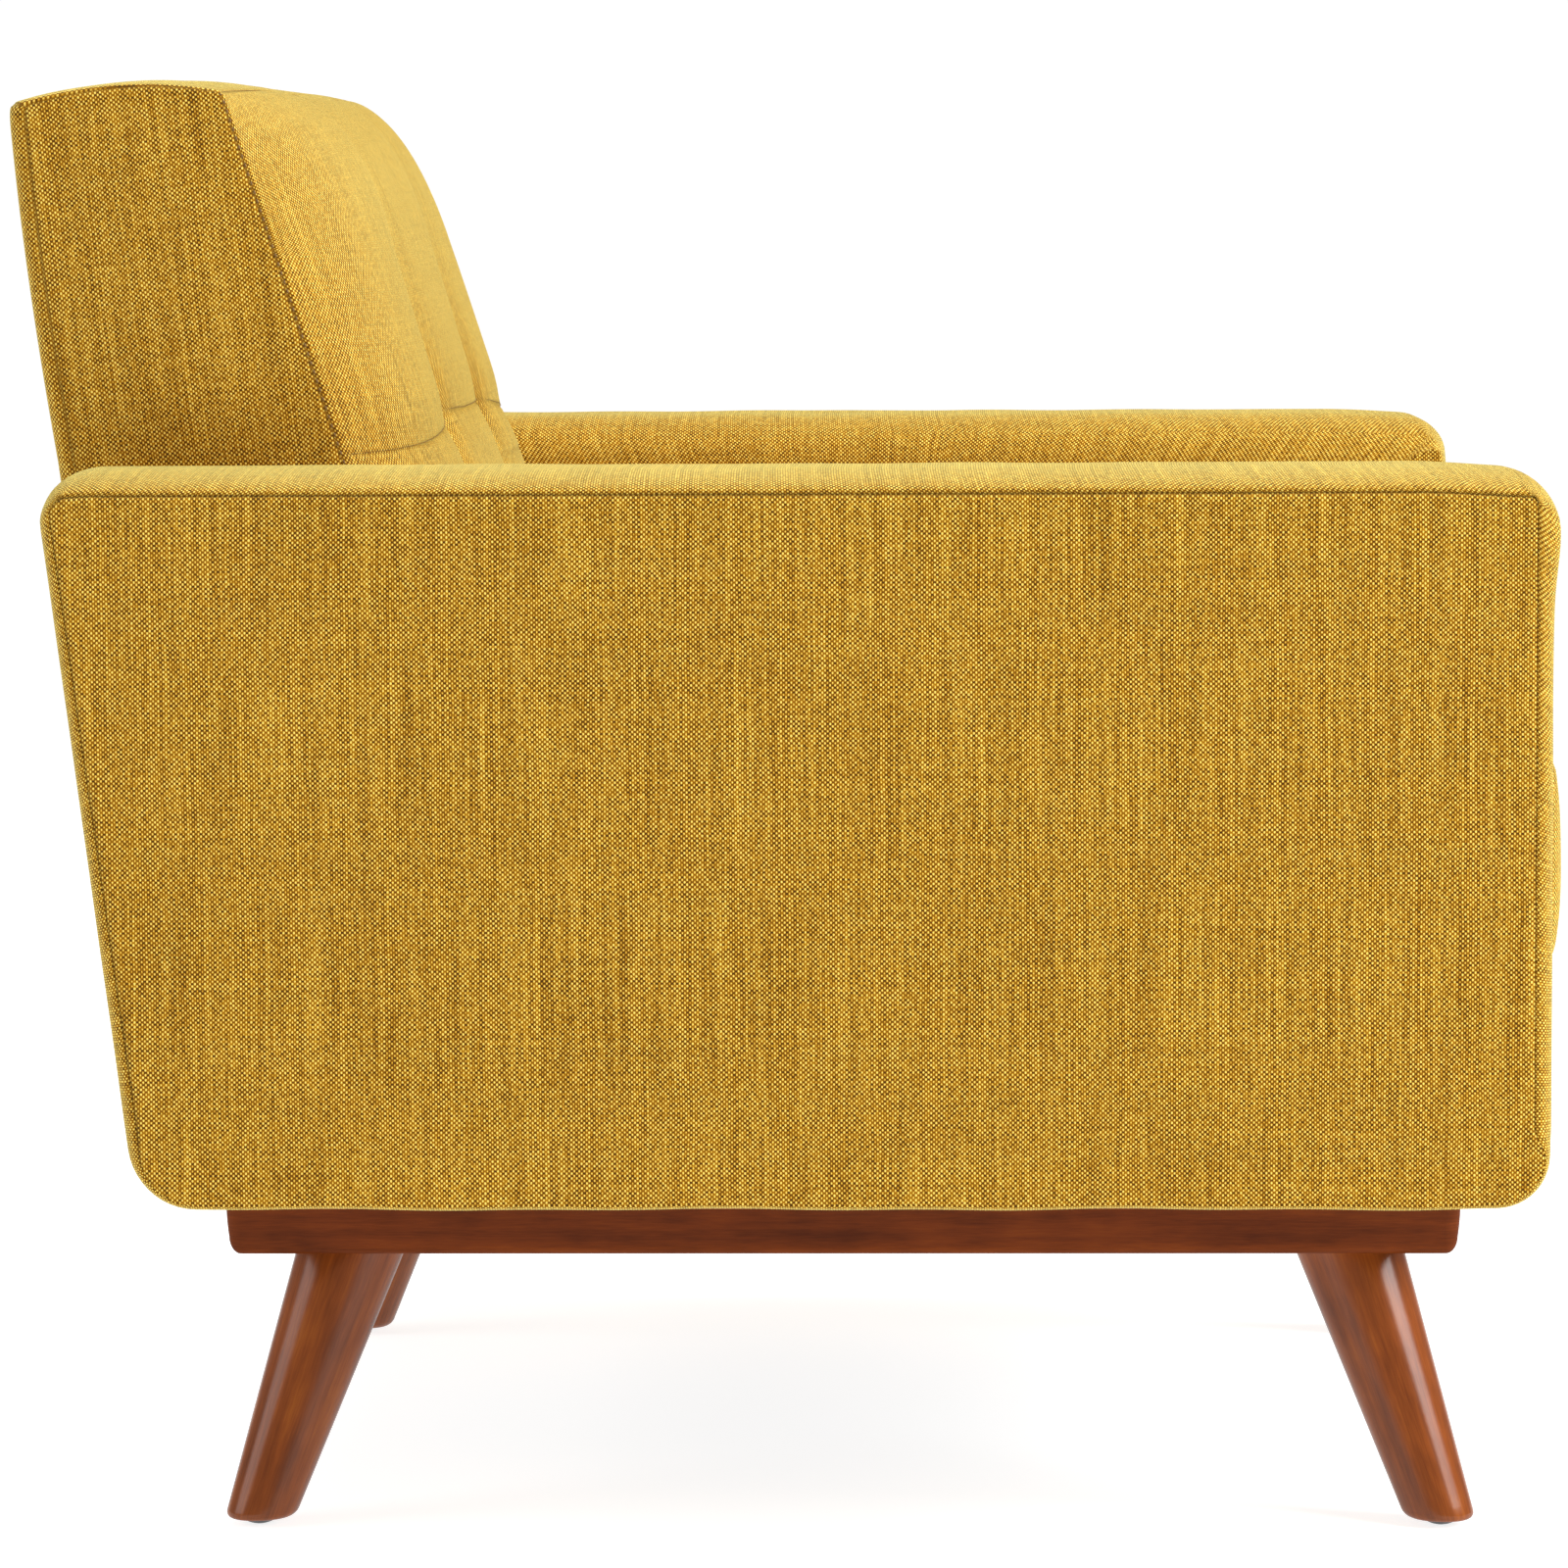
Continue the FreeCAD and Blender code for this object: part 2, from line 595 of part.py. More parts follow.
def zigzag(shop, middle):
    """One sinuous spring: cross runs joined by half-circle bends, as a round wire."""
    start, bends, height = spring_line(shop)
    bend = shop.value("bend")
    half = shop.value("spring_wide/2") - bend
    edges = []
    for i in range(bends + 1):
        y = start + i * 2 * bend
        side = 1 if i % 2 == 0 else -1
        a = FreeCAD.Vector(middle - side * half, y, height)
        b = FreeCAD.Vector(middle + side * half, y, height)
        edges.append(Part.LineSegment(a, b).toShape())
        if i < bends:
            out = FreeCAD.Vector(middle + side * (half + bend), y + bend, height)
            c = FreeCAD.Vector(middle + side * half, y + 2 * bend, height)
            edges.append(Part.Arc(b, out, c).toShape())
    path = Part.Wire(edges)
    begin = edges[0].Vertexes[0].Point
    ring = Part.Wire(Part.Circle(begin, FreeCAD.Vector(1, 0, 0), shop.value("wire/2")).toShape())
    return path.makePipeShell([ring], True, True)


def spring_middle(index):
    return f"(({index} - {(SPRINGS - 1) / 2})*spring_step)"


def springs(shop):
    """Sinuous seat springs, the clips that hold their ends, and the wires that tie them."""
    piece = shop.doc.addObject("Part::Feature", "seat_springs")
    piece.Shape = Part.makeCompound([zigzag(shop, shop.value(spring_middle(i))) for i in range(SPRINGS)])
    piece.Placement = FreeCAD.Placement()
    shop.keep(piece, "seat_springs")
    start, bends, height = spring_line(shop)
    clips = []
    for i in range(SPRINGS):
        for j, y in enumerate((start, start + bends * 2 * shop.value("bend"))):
            name = f"spring_clip_{i}_{j}"
            x = spring_middle(i)
            block = shop.box(
                name + "_block", (f"{x} - clip_wide/2", f"{x} + clip_wide/2"),
                (f"{y} - clip_long/2", f"{y} + clip_long/2"), (RAIL_TOP, DECK_LOW),
            )
            groove = shop.rod(
                name + "_groove", "wire + 2*fit_gap", "clip_wide*2", f"{x} - clip_wide", y,
                f"{RAIL_TOP} + clip_high/2", ALONG_X,
            )
            clips.append(shop.cut(name, block, [groove]))
    shop.group("spring_clips", clips)
    reach = f"({spring_middle(SPRINGS - 1)} + spring_wide/2 + tie_wire)"
    ties = []
    for i in range(TIES):
        y = start + round(bends * (i + 1) / (TIES + 1)) * 2 * shop.value("bend")
        ties.append(shop.rod(
            f"spring_tie_{i}", "tie_wire", f"2*{reach}", f"-{reach}", y,
            f"{RAIL_TOP} + clip_high/2 - wire/2 - tie_gap - tie_wire/2", ALONG_X,
        ))
    shop.group("spring_tie_wires", ties)


def seat_upholstery(shop):
    """The felt deck on the springs, the padded front of the seat, and the dust cover."""
    deck = shop.prism(
        "seat_deck_pad", (f"-{SEAT_HALF}", SEAT_HALF),
        [
            (FRAME_FRONT, DECK_LOW), (raked(FOAM_BACK, DECK_LOW), DECK_LOW),
            (raked(FOAM_BACK, DECK_TOP), DECK_TOP), (FRAME_FRONT, DECK_TOP),
        ],
    )
    shop.keep(deck, "seat_deck_pad")
    front = shop.box(
        "seat_front_pad", (f"-{SEAT_HALF}", SEAT_HALF), (ARM_FRONT, FRAME_FRONT), ("shell_low", DECK_TOP),
    )
    shop.keep(front, "seat_front_pad")
    dust = shop.box(
        "dust_cover", (f"-{BASE_IN}", BASE_IN), (f"{BASE_FRONT} + base_rail", f"{BASE_REAR} - base_rail"),
        ("shell_low - dust_cover", "shell_low"),
    )
    shop.keep(dust, "dust_cover")


# ---------------------------------------------------------------- arms


def arm_form(shop, side):
    """The whole upholstered arm as one form, from which its pads are parted."""
    sign = SIDES[side]
    body = shop.prism(
        f"arm_{side}_form", span(sign, ARM_IN, "wide/2"),
        [
            (ARM_FRONT, "shell_low"), (raked("0", "shell_low"), "shell_low"),
            (raked("0", "arm_high"), "arm_high"), (ARM_FRONT, "arm_high"),
        ],
    )
    low = shop.value("shell_low")
    high = shop.value("arm_high")
    outer = sign * shop.value("wide/2")
    shop.fillet(body, "arm_corner", lambda e: e.BoundBox.XLength > 1 and near(e.BoundBox.ZMax, low))
    shop.fillet(body, "arm_top_round", lambda e: e.BoundBox.XLength > 1 and near(e.BoundBox.ZMin, high))
    shop.fillet(body, "arm_edge", lambda e: e.BoundBox.XLength < 0.01 and near(e.CenterOfMass.x, outer))
    return body


def arm_pads(shop, side):
    """Outer panel and inner, top, front and rear pads of one arm, face to face."""
    sign = SIDES[side]
    form = arm_form(shop, side)
    front, rear = f"{ARM_FRONT} - arm_wide", f"{raked('0', 'arm_high')} + arm_wide"
    below, above = "shell_low - arm_wide", "arm_high + arm_wide"
    core = span(sign, ARM_IN, FRAME_OUT)
    pad_low = "(arm_high - top_pad)"
    cutters = {
        "outer_panel": shop.box(f"arm_{side}_outer_region", span(sign, FRAME_OUT, "wide/2 + arm_wide"),
                                (front, rear), (below, above)),
        "top_pad": shop.box(f"arm_{side}_top_region", core, (front, rear), (pad_low, above)),
        "front_pad": shop.box(f"arm_{side}_front_region", core, (front, FRAME_FRONT), (below, pad_low)),
        "rear_pad": shop.prism(
            f"arm_{side}_rear_region", core,
            [
                (raked("rear_pad", below), below), (raked("-arm_wide", below), below),
                (raked("-arm_wide", pad_low), pad_low), (raked("rear_pad", pad_low), pad_low),
            ],
        ),
        "inner_pad": shop.prism(
            f"arm_{side}_inner_region", span(sign, ARM_IN, FRAME_IN),
            [
                (FRAME_FRONT, RAIL_TOP), (raked("rear_pad", RAIL_TOP), RAIL_TOP),
                (raked("rear_pad", pad_low), pad_low), (FRAME_FRONT, pad_low),
            ],
        ),
    }
    for name, region in cutters.items():
        label = f"arm_{side}_{name}"
        shop.keep(shop.common(label, form, region), label)


def arm_frame(shop, side):
    """Posts, top board and bottom rail inside one arm."""
    sign = SIDES[side]
    core = span(sign, FRAME_IN, FRAME_OUT)
    board_top = "(arm_high - top_pad)"
    board_low = f"({board_top} - arm_board)"
    lift = "(shell_low + arm_corner - sqrt(arm_corner^2 - (arm_corner - rear_pad)^2) + 1)"
    inside = f"({FRAME_FRONT} + arm_post)"
    post_in = "(rear_pad + arm_post)"
    front = shop.box(f"arm_{side}_front_post", core, (FRAME_FRONT, inside), (lift, board_low))
    shop.keep(front, f"arm_{side}_front_post")
    rear = shop.prism(
        f"arm_{side}_rear_post", core,
        [
            (raked(post_in, lift), lift), (raked("rear_pad", lift), lift),
            (raked("rear_pad", board_low), board_low), (raked(post_in, board_low), board_low),
        ],
    )
    shop.keep(rear, f"arm_{side}_rear_post")
    board = shop.prism(
        f"arm_{side}_top_board", core,
        [
            (FRAME_FRONT, board_low), (raked("rear_pad", board_low), board_low),
            (raked("rear_pad", board_top), board_top), (FRAME_FRONT, board_top),
        ],
    )
    shop.keep(board, f"arm_{side}_top_board")
    rail_top = "(shell_low + arm_rail)"
    rail = shop.prism(
        f"arm_{side}_bottom_rail_blank", core,
        [
            (inside, "shell_low"), (raked(post_in, "shell_low"), "shell_low"),
            (raked(post_in, rail_top), rail_top), (inside, rail_top),
        ],
    )
    label = f"arm_{side}_bottom_rail"
    holes = [bolt_hole(shop, f"{label}_hole_{i}", sign, i) for i in range(FASTENERS_PER_SIDE)]
    shop.keep(shop.cut(label, rail, holes), label)


# ---------------------------------------------------------------- back


def back_frame(shop):
    """Raked stiles and cross rails of the back, with elastic webbing across them."""
    for side, sign in SIDES.items():
        name = f"back_stile_{side}"
        body = shop.prism(
            name + "_blank", span(sign, STILE_IN, STILE_OUT),
            [
                (raked(STILE_FRONT, "shell_low"), "shell_low"), (raked("rear_pad", "shell_low"), "shell_low"),
                (raked("rear_pad", BACK_TOP), BACK_TOP), (raked(STILE_FRONT, BACK_TOP), BACK_TOP),
            ],
        )
        holes = [back_screw_hole(shop, f"{name}_hole_{i}", sign, h) for i, h in enumerate(BACK_SCREW_HEIGHTS)]
        shop.keep(shop.cut(name, body, holes), name)
    rail_in = f"({STILE_FRONT} - back_rail_deep)"
    for name, low in (("back_top_rail", f"({BACK_TOP} - back_rail_high)"), ("back_lower_rail", "back_mid_rail")):
        high = f"({low} + back_rail_high)"
        rail = shop.prism(
            name, (f"-{STILE_IN}", STILE_IN),
            [
                (raked(STILE_FRONT, low), low), (raked(rail_in, low), low),
                (raked(rail_in, high), high), (raked(STILE_FRONT, high), high),
            ],
        )
        shop.keep(rail, name)
    straps = []
    first = f"(back_mid_rail + back_rail_high)"
    room = f"({BACK_TOP} - back_rail_high - web_wide - {first})"
    web_front = f"({STILE_FRONT} + web_thick)"
    for i in range(STRAPS):
        low = f"({first} + {room}*{i}/{STRAPS - 1})"
        high = f"({low} + web_wide)"
        straps.append(shop.prism(
            f"back_strap_{i}", (f"-{STILE_OUT}", STILE_OUT),
            [
                (raked(web_front, low), low), (raked(STILE_FRONT, low), low),
                (raked(STILE_FRONT, high), high), (raked(web_front, high), high),
            ],
        ))
    shop.group("back_webbing", straps)


def back_form(shop):
    """The back above the arms as one rounded form, from which its pads are parted."""
    body = shop.prism(
        "back_form", (f"-{BACK_HALF}", BACK_HALF),
        [
            (face("arm_high"), "arm_high"), (raked("0", "arm_high"), "arm_high"),
            (raked("0", "back_high"), "back_high"), (face("back_high"), "back_high"),
        ],
    )
    high = shop.value("back_high")
    rear = shop.value(raked("0", "back_high"))
    brow = shop.value(face("back_high"))
    edge = shop.value(BACK_HALF)
    top = lambda e: e.BoundBox.XLength > 1 and near(e.BoundBox.ZMin, high)
    shop.fillet(body, "back_round", lambda e: top(e) and near(e.CenterOfMass.y, rear))
    shop.fillet(body, "brow_round", lambda e: top(e) and near(e.CenterOfMass.y, brow))
    shop.fillet(body, "cheek_round", lambda e: (
        e.BoundBox.XLength < 0.01 and near(abs(e.CenterOfMass.x), edge)
        and e.BoundBox.ZMax > shop.value("arm_high") + 1 and e.CenterOfMass.y < shop.value(FACE_Y) + (
            e.CenterOfMass.z - shop.value("arm_high")) * shop.value("face_lean") + 1))
    return body


def back_pads(shop):
    """Foam, cover and boards of the back, face to face."""
    form = back_form(shop)
    far = "arm_wide"
    whole = (f"-({BACK_HALF} + {far})", f"{BACK_HALF} + {far}")
    reach_low, reach_high = "arm_high", "back_high + arm_wide"
    foam = shop.prism(
        "back_upper_region", whole,
        [
            (f"{FACE_Y} - {far}", reach_low), (raked(FOAM_BACK, reach_low), reach_low),
            (raked(FOAM_BACK, BACK_TOP), BACK_TOP), (f"{FACE_Y} - {far}", BACK_TOP),
        ],
    )
    shop.keep(shop.common("back_upper_pad", form, foam), "back_upper_pad")
    lower = shop.prism(
        "back_lower_pad", (f"-{SEAT_HALF}", SEAT_HALF),
        [
            (KNEE_Y, DECK_TOP), (raked(FOAM_BACK, DECK_TOP), DECK_TOP), (raked(FOAM_BACK, "arm_high"), "arm_high"),
            (FACE_Y, "arm_high"), (KNEE_Y, "face_knee"),
        ],
    )
    shop.keep(lower, "back_lower_pad")
    top = shop.box("back_top_region", whole, (FACE_Y, f"depth/2 + {far}"), (BACK_TOP, reach_high))
    shop.keep(shop.common("back_top_pad", form, top), "back_top_pad")
    cheeks = []
    for side, sign in SIDES.items():
        region = shop.prism(
            f"back_side_region_{side}", span(sign, SEAT_HALF, f"{BACK_HALF} + {far}"),
            [
                (raked(FOAM_BACK, reach_low), reach_low), (raked("rear_pad", reach_low), reach_low),
                (raked("rear_pad", BACK_TOP), BACK_TOP), (raked(FOAM_BACK, BACK_TOP), BACK_TOP),
            ],
        )
        cheeks.append(shop.common(f"back_side_pad_{side}", form, region))
    shop.group("back_side_pads", cheeks)
    board = shop.prism(
        "back_board_region", whole,
        [
            (raked("rear_pad", reach_low), reach_low), (raked(f"-{far}", reach_low), reach_low),
            (raked(f"-{far}", BACK_TOP), BACK_TOP), (raked("rear_pad", BACK_TOP), BACK_TOP),
        ],
    )
    upper = shop.common("back_board_upper", form, board)
    shop.keep(upper, "back_upper_rear_panel")
    under = shop.prism(
        "back_board_lower", (f"-{SEAT_HALF}", SEAT_HALF),
        [
            (raked("rear_pad", "shell_low"), "shell_low"), (raked("0", "shell_low"), "shell_low"),
            (raked("0", "arm_high"), "arm_high"), (raked("rear_pad", "arm_high"), "arm_high"),
        ],
    )
    shop.keep(under, "back_lower_rear_panel")


# ---------------------------------------------------------------- loose seat cushion


def cushion_block(shop, label, inset, low, high):
    """A block of the cushion's plan, drawn in by inset, with rounded upright corners."""
    half = f"({ARM_IN} - cushion_gap - {inset})"
    front = f"(-depth/2 + {inset})"
    rear = f"({KNEE_Y} - cushion_gap - {inset})"
    body = shop.prism(label, (f"-{half}", half), [(front, low), (rear, low), (rear, high), (front, high)])
    return shop.fillet(body, f"cushion_corner - {inset}", lambda e: (
        e.BoundBox.XLength < 0.01 and e.BoundBox.YLength < 0.01))


def seat_cushion(shop):
    """The loose cushion: foam core, top and bottom panels, and the boxing round its sides."""
    low = f"({DECK_TOP} + rest_gap)"
    high = f"({low} + cushion_high)"
    core_low = f"({low} + cushion_cover)"
    core_high = f"({high} - cushion_cover)"
    core = cushion_block(shop, "seat_cushion_core", "cushion_cover", core_low, core_high)
    shop.keep(core, "seat_cushion_core")
    shop.keep(cushion_block(shop, "seat_cushion_top", "0", core_high, high), "seat_cushion_top")
    shop.keep(cushion_block(shop, "seat_cushion_bottom", "0", low, core_low), "seat_cushion_bottom")
    ring = cushion_block(shop, "seat_cushion_ring", "0", core_low, core_high)
    hollow = cushion_block(shop, "seat_cushion_hollow", "cushion_cover", core_low, core_high)
    shop.keep(shop.cut("seat_cushion_boxing", ring, [hollow]), "seat_cushion_boxing")


def check(shop):
    """Stops if any object failed, or if a sub-part's shape is missing or not valid."""
    for item in shop.doc.Objects:
        if "Invalid" in item.State or "Error" in item.State:
            raise RuntimeError(f"{item.Label}: {item.State}")
    for piece in shop.kept:
        shape = piece.Shape
        if shape.isNull() or not shape.isValid() or not shape.Solids:
            raise RuntimeError(f"{piece.Label}: its shape is missing or not valid")


def main():
    shop = Workshop()
    for side in SIDES:
        base_side_rail(shop, side)
    for end in ENDS:
        base_cross_rail(shop, end)
    corner_blocks(shop)
    for end in ENDS:
        for side in SIDES:
            leg(shop, side, end)
    leg_hardware(shop)
    glides(shop)
    base_screws(shop)
    seat_rails(shop)
    springs(shop)
    seat_upholstery(shop)
    for side in SIDES:
        arm_frame(shop, side)
        arm_pads(shop, side)
    arm_bolts(shop)
    back_frame(shop)
    back_pads(shop)
    back_screws(shop)
    seat_cushion(shop)
    shop.doc.recompute()
    check(shop)
    os.makedirs("parts", exist_ok=True)
    for piece in shop.kept:
        piece.Shape.exportStep(f"parts/{piece.Label}.step")
        print(piece.Label, len(piece.Shape.Solids), round(piece.Shape.Volume))


main()
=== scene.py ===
"""Single-seat sofa with turned wooden legs: covers, seams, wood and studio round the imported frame.

Shapes are worked out in millimetres as whole numpy arrays and put into meshes in metres.
+Z is up, the sitter faces -Y and the sitter's right hand is at -X.
"""

import logging
import math
from dataclasses import dataclass, field
from enum import Enum

import bmesh
import bpy
import numpy as np
from mathutils import Matrix, Vector


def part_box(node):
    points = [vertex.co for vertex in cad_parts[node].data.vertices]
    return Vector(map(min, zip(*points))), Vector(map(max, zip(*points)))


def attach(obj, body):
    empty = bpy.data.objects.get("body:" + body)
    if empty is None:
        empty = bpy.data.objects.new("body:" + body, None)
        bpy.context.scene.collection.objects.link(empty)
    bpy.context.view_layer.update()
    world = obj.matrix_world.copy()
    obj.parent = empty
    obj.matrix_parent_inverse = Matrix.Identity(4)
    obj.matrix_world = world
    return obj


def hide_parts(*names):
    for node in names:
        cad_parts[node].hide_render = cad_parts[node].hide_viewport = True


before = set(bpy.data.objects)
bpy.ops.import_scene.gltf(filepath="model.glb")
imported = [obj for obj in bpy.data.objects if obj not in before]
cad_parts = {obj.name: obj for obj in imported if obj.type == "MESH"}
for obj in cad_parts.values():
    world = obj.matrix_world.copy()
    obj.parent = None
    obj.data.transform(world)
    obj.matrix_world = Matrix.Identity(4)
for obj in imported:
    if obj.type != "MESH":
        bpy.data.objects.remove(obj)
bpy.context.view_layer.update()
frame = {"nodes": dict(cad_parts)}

log = logging.getLogger("sofa")
MM = 0.001
FRAME_BODY = "frame"
CUSHION_BODY = "seat_cushion"
CLOTH_UV = "cloth"
# Name of the per-vertex attribute that holds the painted shade in the cloth's seam grooves.
SEAM_SHADE_ATTRIBUTE = "seam"


class Side(Enum):
    """The sitter's right is towards -X, the sitter's left towards +X."""

    RIGHT = -1
    LEFT = 1

    @property
    def word(self) -> str:
        """The side's name as it stands in node names."""
        return self.name.lower()


# ---------------------------------------------------------------- numbers and meshes


def span(*nodes: str) -> tuple[np.ndarray, np.ndarray]:
    """Box round several frame nodes.

    Args:
        nodes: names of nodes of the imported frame.

    Returns:
        Lowest and highest corner, in mm.
    """
    boxes = [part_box(n) for n in nodes]
    low = np.min([np.array(b[0]) for b in boxes], axis=0)
    high = np.max([np.array(b[1]) for b in boxes], axis=0)
    return low / MM, high / MM


def smooth(x: np.ndarray | float, start: float, end: float) -> np.ndarray:
    """Cubic step 3t^2 - 2t^3 of t = (x - start) / (end - start), held to 0..1.

    Args:
        x: where it is read.
        start: value at which the step is 0.
        end: value at which the step is 1.

    Returns:
        The step, same shape as x.
    """
    t = np.clip((np.asarray(x, float) - start) / (end - start), 0, 1)
    return t * t * (3 - 2 * t)


def bell(x: np.ndarray, wide: float) -> np.ndarray:
    """Bell curve exp(-(x / wide)^2).

    Args:
        x: distance from the middle.
        wide: distance at which it has fallen to 1/e.

    Returns:
        Its height, 1 in the middle.
    """
    return np.exp(-((x / wide) ** 2))


def ripple(a: np.ndarray, b: np.ndarray, seed: float) -> np.ndarray:
    """Calm unevenness of stretched cloth: the mean of four crossed sine waves 70 to 260 mm long.

    Args:
        a: first surface coordinate, mm.
        b: second surface coordinate, mm.
        seed: phase, so that no two panels are alike.

    Returns:
        Height between about -1 and 1.
    """
    waves = ((0.024, 0.011, 0.0), (-0.015, 0.031, 1.3), (0.052, -0.043, 2.1), (0.071, 0.058, 4.2))
    height = sum(np.sin(a * i + b * j + k + seed * (n + 1.7)) for n, (i, j, k) in enumerate(waves))
    return height / 2.6


def graded(length: float, step: float, fine: tuple[float, ...] = (0, 0.7, 1.5, 2.6, 4.2, 7.0, 11.0)) -> np.ndarray:
    """Distances from 0 to length, close together near both ends and step apart between.

    Args:
        length: whole run, mm.
        step: spacing in the middle, mm.
        fine: the close distances, mm from an end.

    Returns:
        Rising distances that start at 0 and end at length.
    """
    first = np.array(fine)
    count = max(2, int(round((length - 2 * fine[-1]) / step)))
    middle = np.linspace(fine[-1], length - fine[-1], count + 1)[1:-1]
    return np.concatenate([first, middle, length - first[::-1]])


@dataclass
class Panel:
    """One panel of a surface: a grid of points, its cloth coordinates and how much painted seam shade each point gets.
    """

    points: np.ndarray
    cloth: np.ndarray
    # Strength of the painted shade in the seam grooves, 0 to 1.
    seam: np.ndarray | float = 0.0

    def faces(self, start: int) -> np.ndarray:
        """Quads between neighbouring rows and columns.

        Args:
            start: index of the panel's first vertex.

        Returns:
            One row of four vertex indices per quad.
        """
        rows, cols = self.points.shape[:2]
        corner = start + np.arange(rows - 1)[:, None] * cols + np.arange(cols - 1)[None, :]
        return np.stack([corner, corner + 1, corner + cols + 1, corner + cols], axis=-1).reshape(-1, 4)


def sew(name: str, panels: list[Panel], weld: float = 0.02) -> bpy.types.Object:
    """Joins panels along their shared edges into one closed, smooth mesh.

    Args:
        name: name of the new object.
        panels: the grids, whose edges meet.
        weld: points closer than this become one, mm.

    Returns:
        The object, at the origin, with its cloth coordinates in metres.
    """
    points = np.concatenate([p.points.reshape(-1, 3) for p in panels]) * MM
    cloth = np.concatenate([p.cloth.reshape(-1, 2) for p in panels]) * MM
    seam = np.concatenate([np.broadcast_to(p.seam, p.points.shape[:2]).ravel() for p in panels])
    starts = np.cumsum([0] + [p.points.shape[0] * p.points.shape[1] for p in panels])
    faces = np.concatenate([p.faces(int(s)) for p, s in zip(panels, starts)])
    mesh = bpy.data.meshes.new(name)
    mesh.from_pydata(points.tolist(), [], faces.tolist())
    corners = np.zeros(len(mesh.loops), np.int32)
    mesh.loops.foreach_get("vertex_index", corners)
    mesh.uv_layers.new(name=CLOTH_UV).data.foreach_set("uv", cloth[corners].astype(np.float32).ravel())
    # Stores the painted seam shade for the cloth material.
    depth = mesh.attributes.new(SEAM_SHADE_ATTRIBUTE, "FLOAT", "POINT")
    depth.data.foreach_set("value", seam.astype(np.float32))
    shell = bmesh.new()
    shell.from_mesh(mesh)
    bmesh.ops.remove_doubles(shell, verts=shell.verts, dist=weld * MM)
    bmesh.ops.dissolve_degenerate(shell, edges=shell.edges, dist=1e-6)
    bmesh.ops.recalc_face_normals(shell, faces=shell.faces)
    shell.to_mesh(mesh)
    shell.free()
    mesh.shade_smooth()
    thing = bpy.data.objects.new(name, mesh)
    bpy.context.scene.collection.objects.link(thing)
    return thing


def finish_piece(thing: bpy.types.Object, body: str, material: bpy.types.Material,
                 nodes: tuple[str, ...] = ()) -> bpy.types.Object:
    """Dresses a new piece and ties it to the frame.

    Args:
        thing: the piece.
        body: frame body that it moves with.
        material: its finish.
        nodes: frame nodes that it stands for.

    Returns:
        The piece.
    """
    thing.data.materials.clear()
    thing.data.materials.append(material)
    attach(thing, body)
    if nodes:
        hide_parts(*nodes)
    log.info("%s: %d vertices", thing.name, len(thing.data.vertices))
    return thing


# ---------------------------------------------------------------- finishes


def linear(code: str) -> tuple[float, float, float, float]:
    """Turns an sRGB hex value into linear light.

    Args:
        code: six hex digits.

    Returns:
        Red, green, blue and an alpha of 1.
    """
    parts = [int(code[i:i + 2], 16) / 255 for i in (0, 2, 4)]
    return (*(p / 12.92 if p <= 0.04045 else ((p + 0.055) / 1.055) ** 2.4 for p in parts), 1.0)


def add_node(tree: bpy.types.NodeTree, kind: str, settings: dict | None = None,
             inputs: dict | None = None) -> bpy.types.Node:
    """Adds a shader node with its settings and links.

    Args:
        tree: the material's node tree.
        kind: the node's type.
        settings: properties of the node by name.
        inputs: values or linked output sockets by input name or number.

    Returns:
        The node.
    """
    node = tree.nodes.new(kind)
    for name, value in (settings or {}).items():
        setattr(node, name, value)
    for key, value in (inputs or {}).items():
        if isinstance(value, bpy.types.NodeSocket):
            tree.links.new(value, node.inputs[key])
        else:
            node.inputs[key].default_value = value
    return node


def ramp(tree: bpy.types.NodeTree, value: bpy.types.NodeSocket, stops: dict[float, str]) -> bpy.types.NodeSocket:
    """Colours a value by stops of sRGB hex colours.

    Args:
        tree: the material's node tree.
        value: the value, 0 to 1.
        stops: colours by place.

    Returns:
        The colour socket.
    """
    node = add_node(tree, "ShaderNodeValToRGB", inputs={0: value})
    marks = node.color_ramp.elements
    while len(marks) < len(stops):
        marks.new(0.5)
    for mark, (place, code) in zip(marks, sorted(stops.items())):
        mark.position = place
        mark.color = linear(code)
    return node.outputs["Color"]


def blank(name: str) -> tuple[bpy.types.Material, bpy.types.NodeTree, bpy.types.Node]:
    """A new material with only its shader and output.

    Args:
        name: the material's name.

    Returns:
        The material, its tree and its shader node.
    """
    material = bpy.data.materials.new(name)
    material.use_nodes = True
    tree = material.node_tree
    shader = next(n for n in tree.nodes if n.type == "BSDF_PRINCIPLED")
    return material, tree, shader


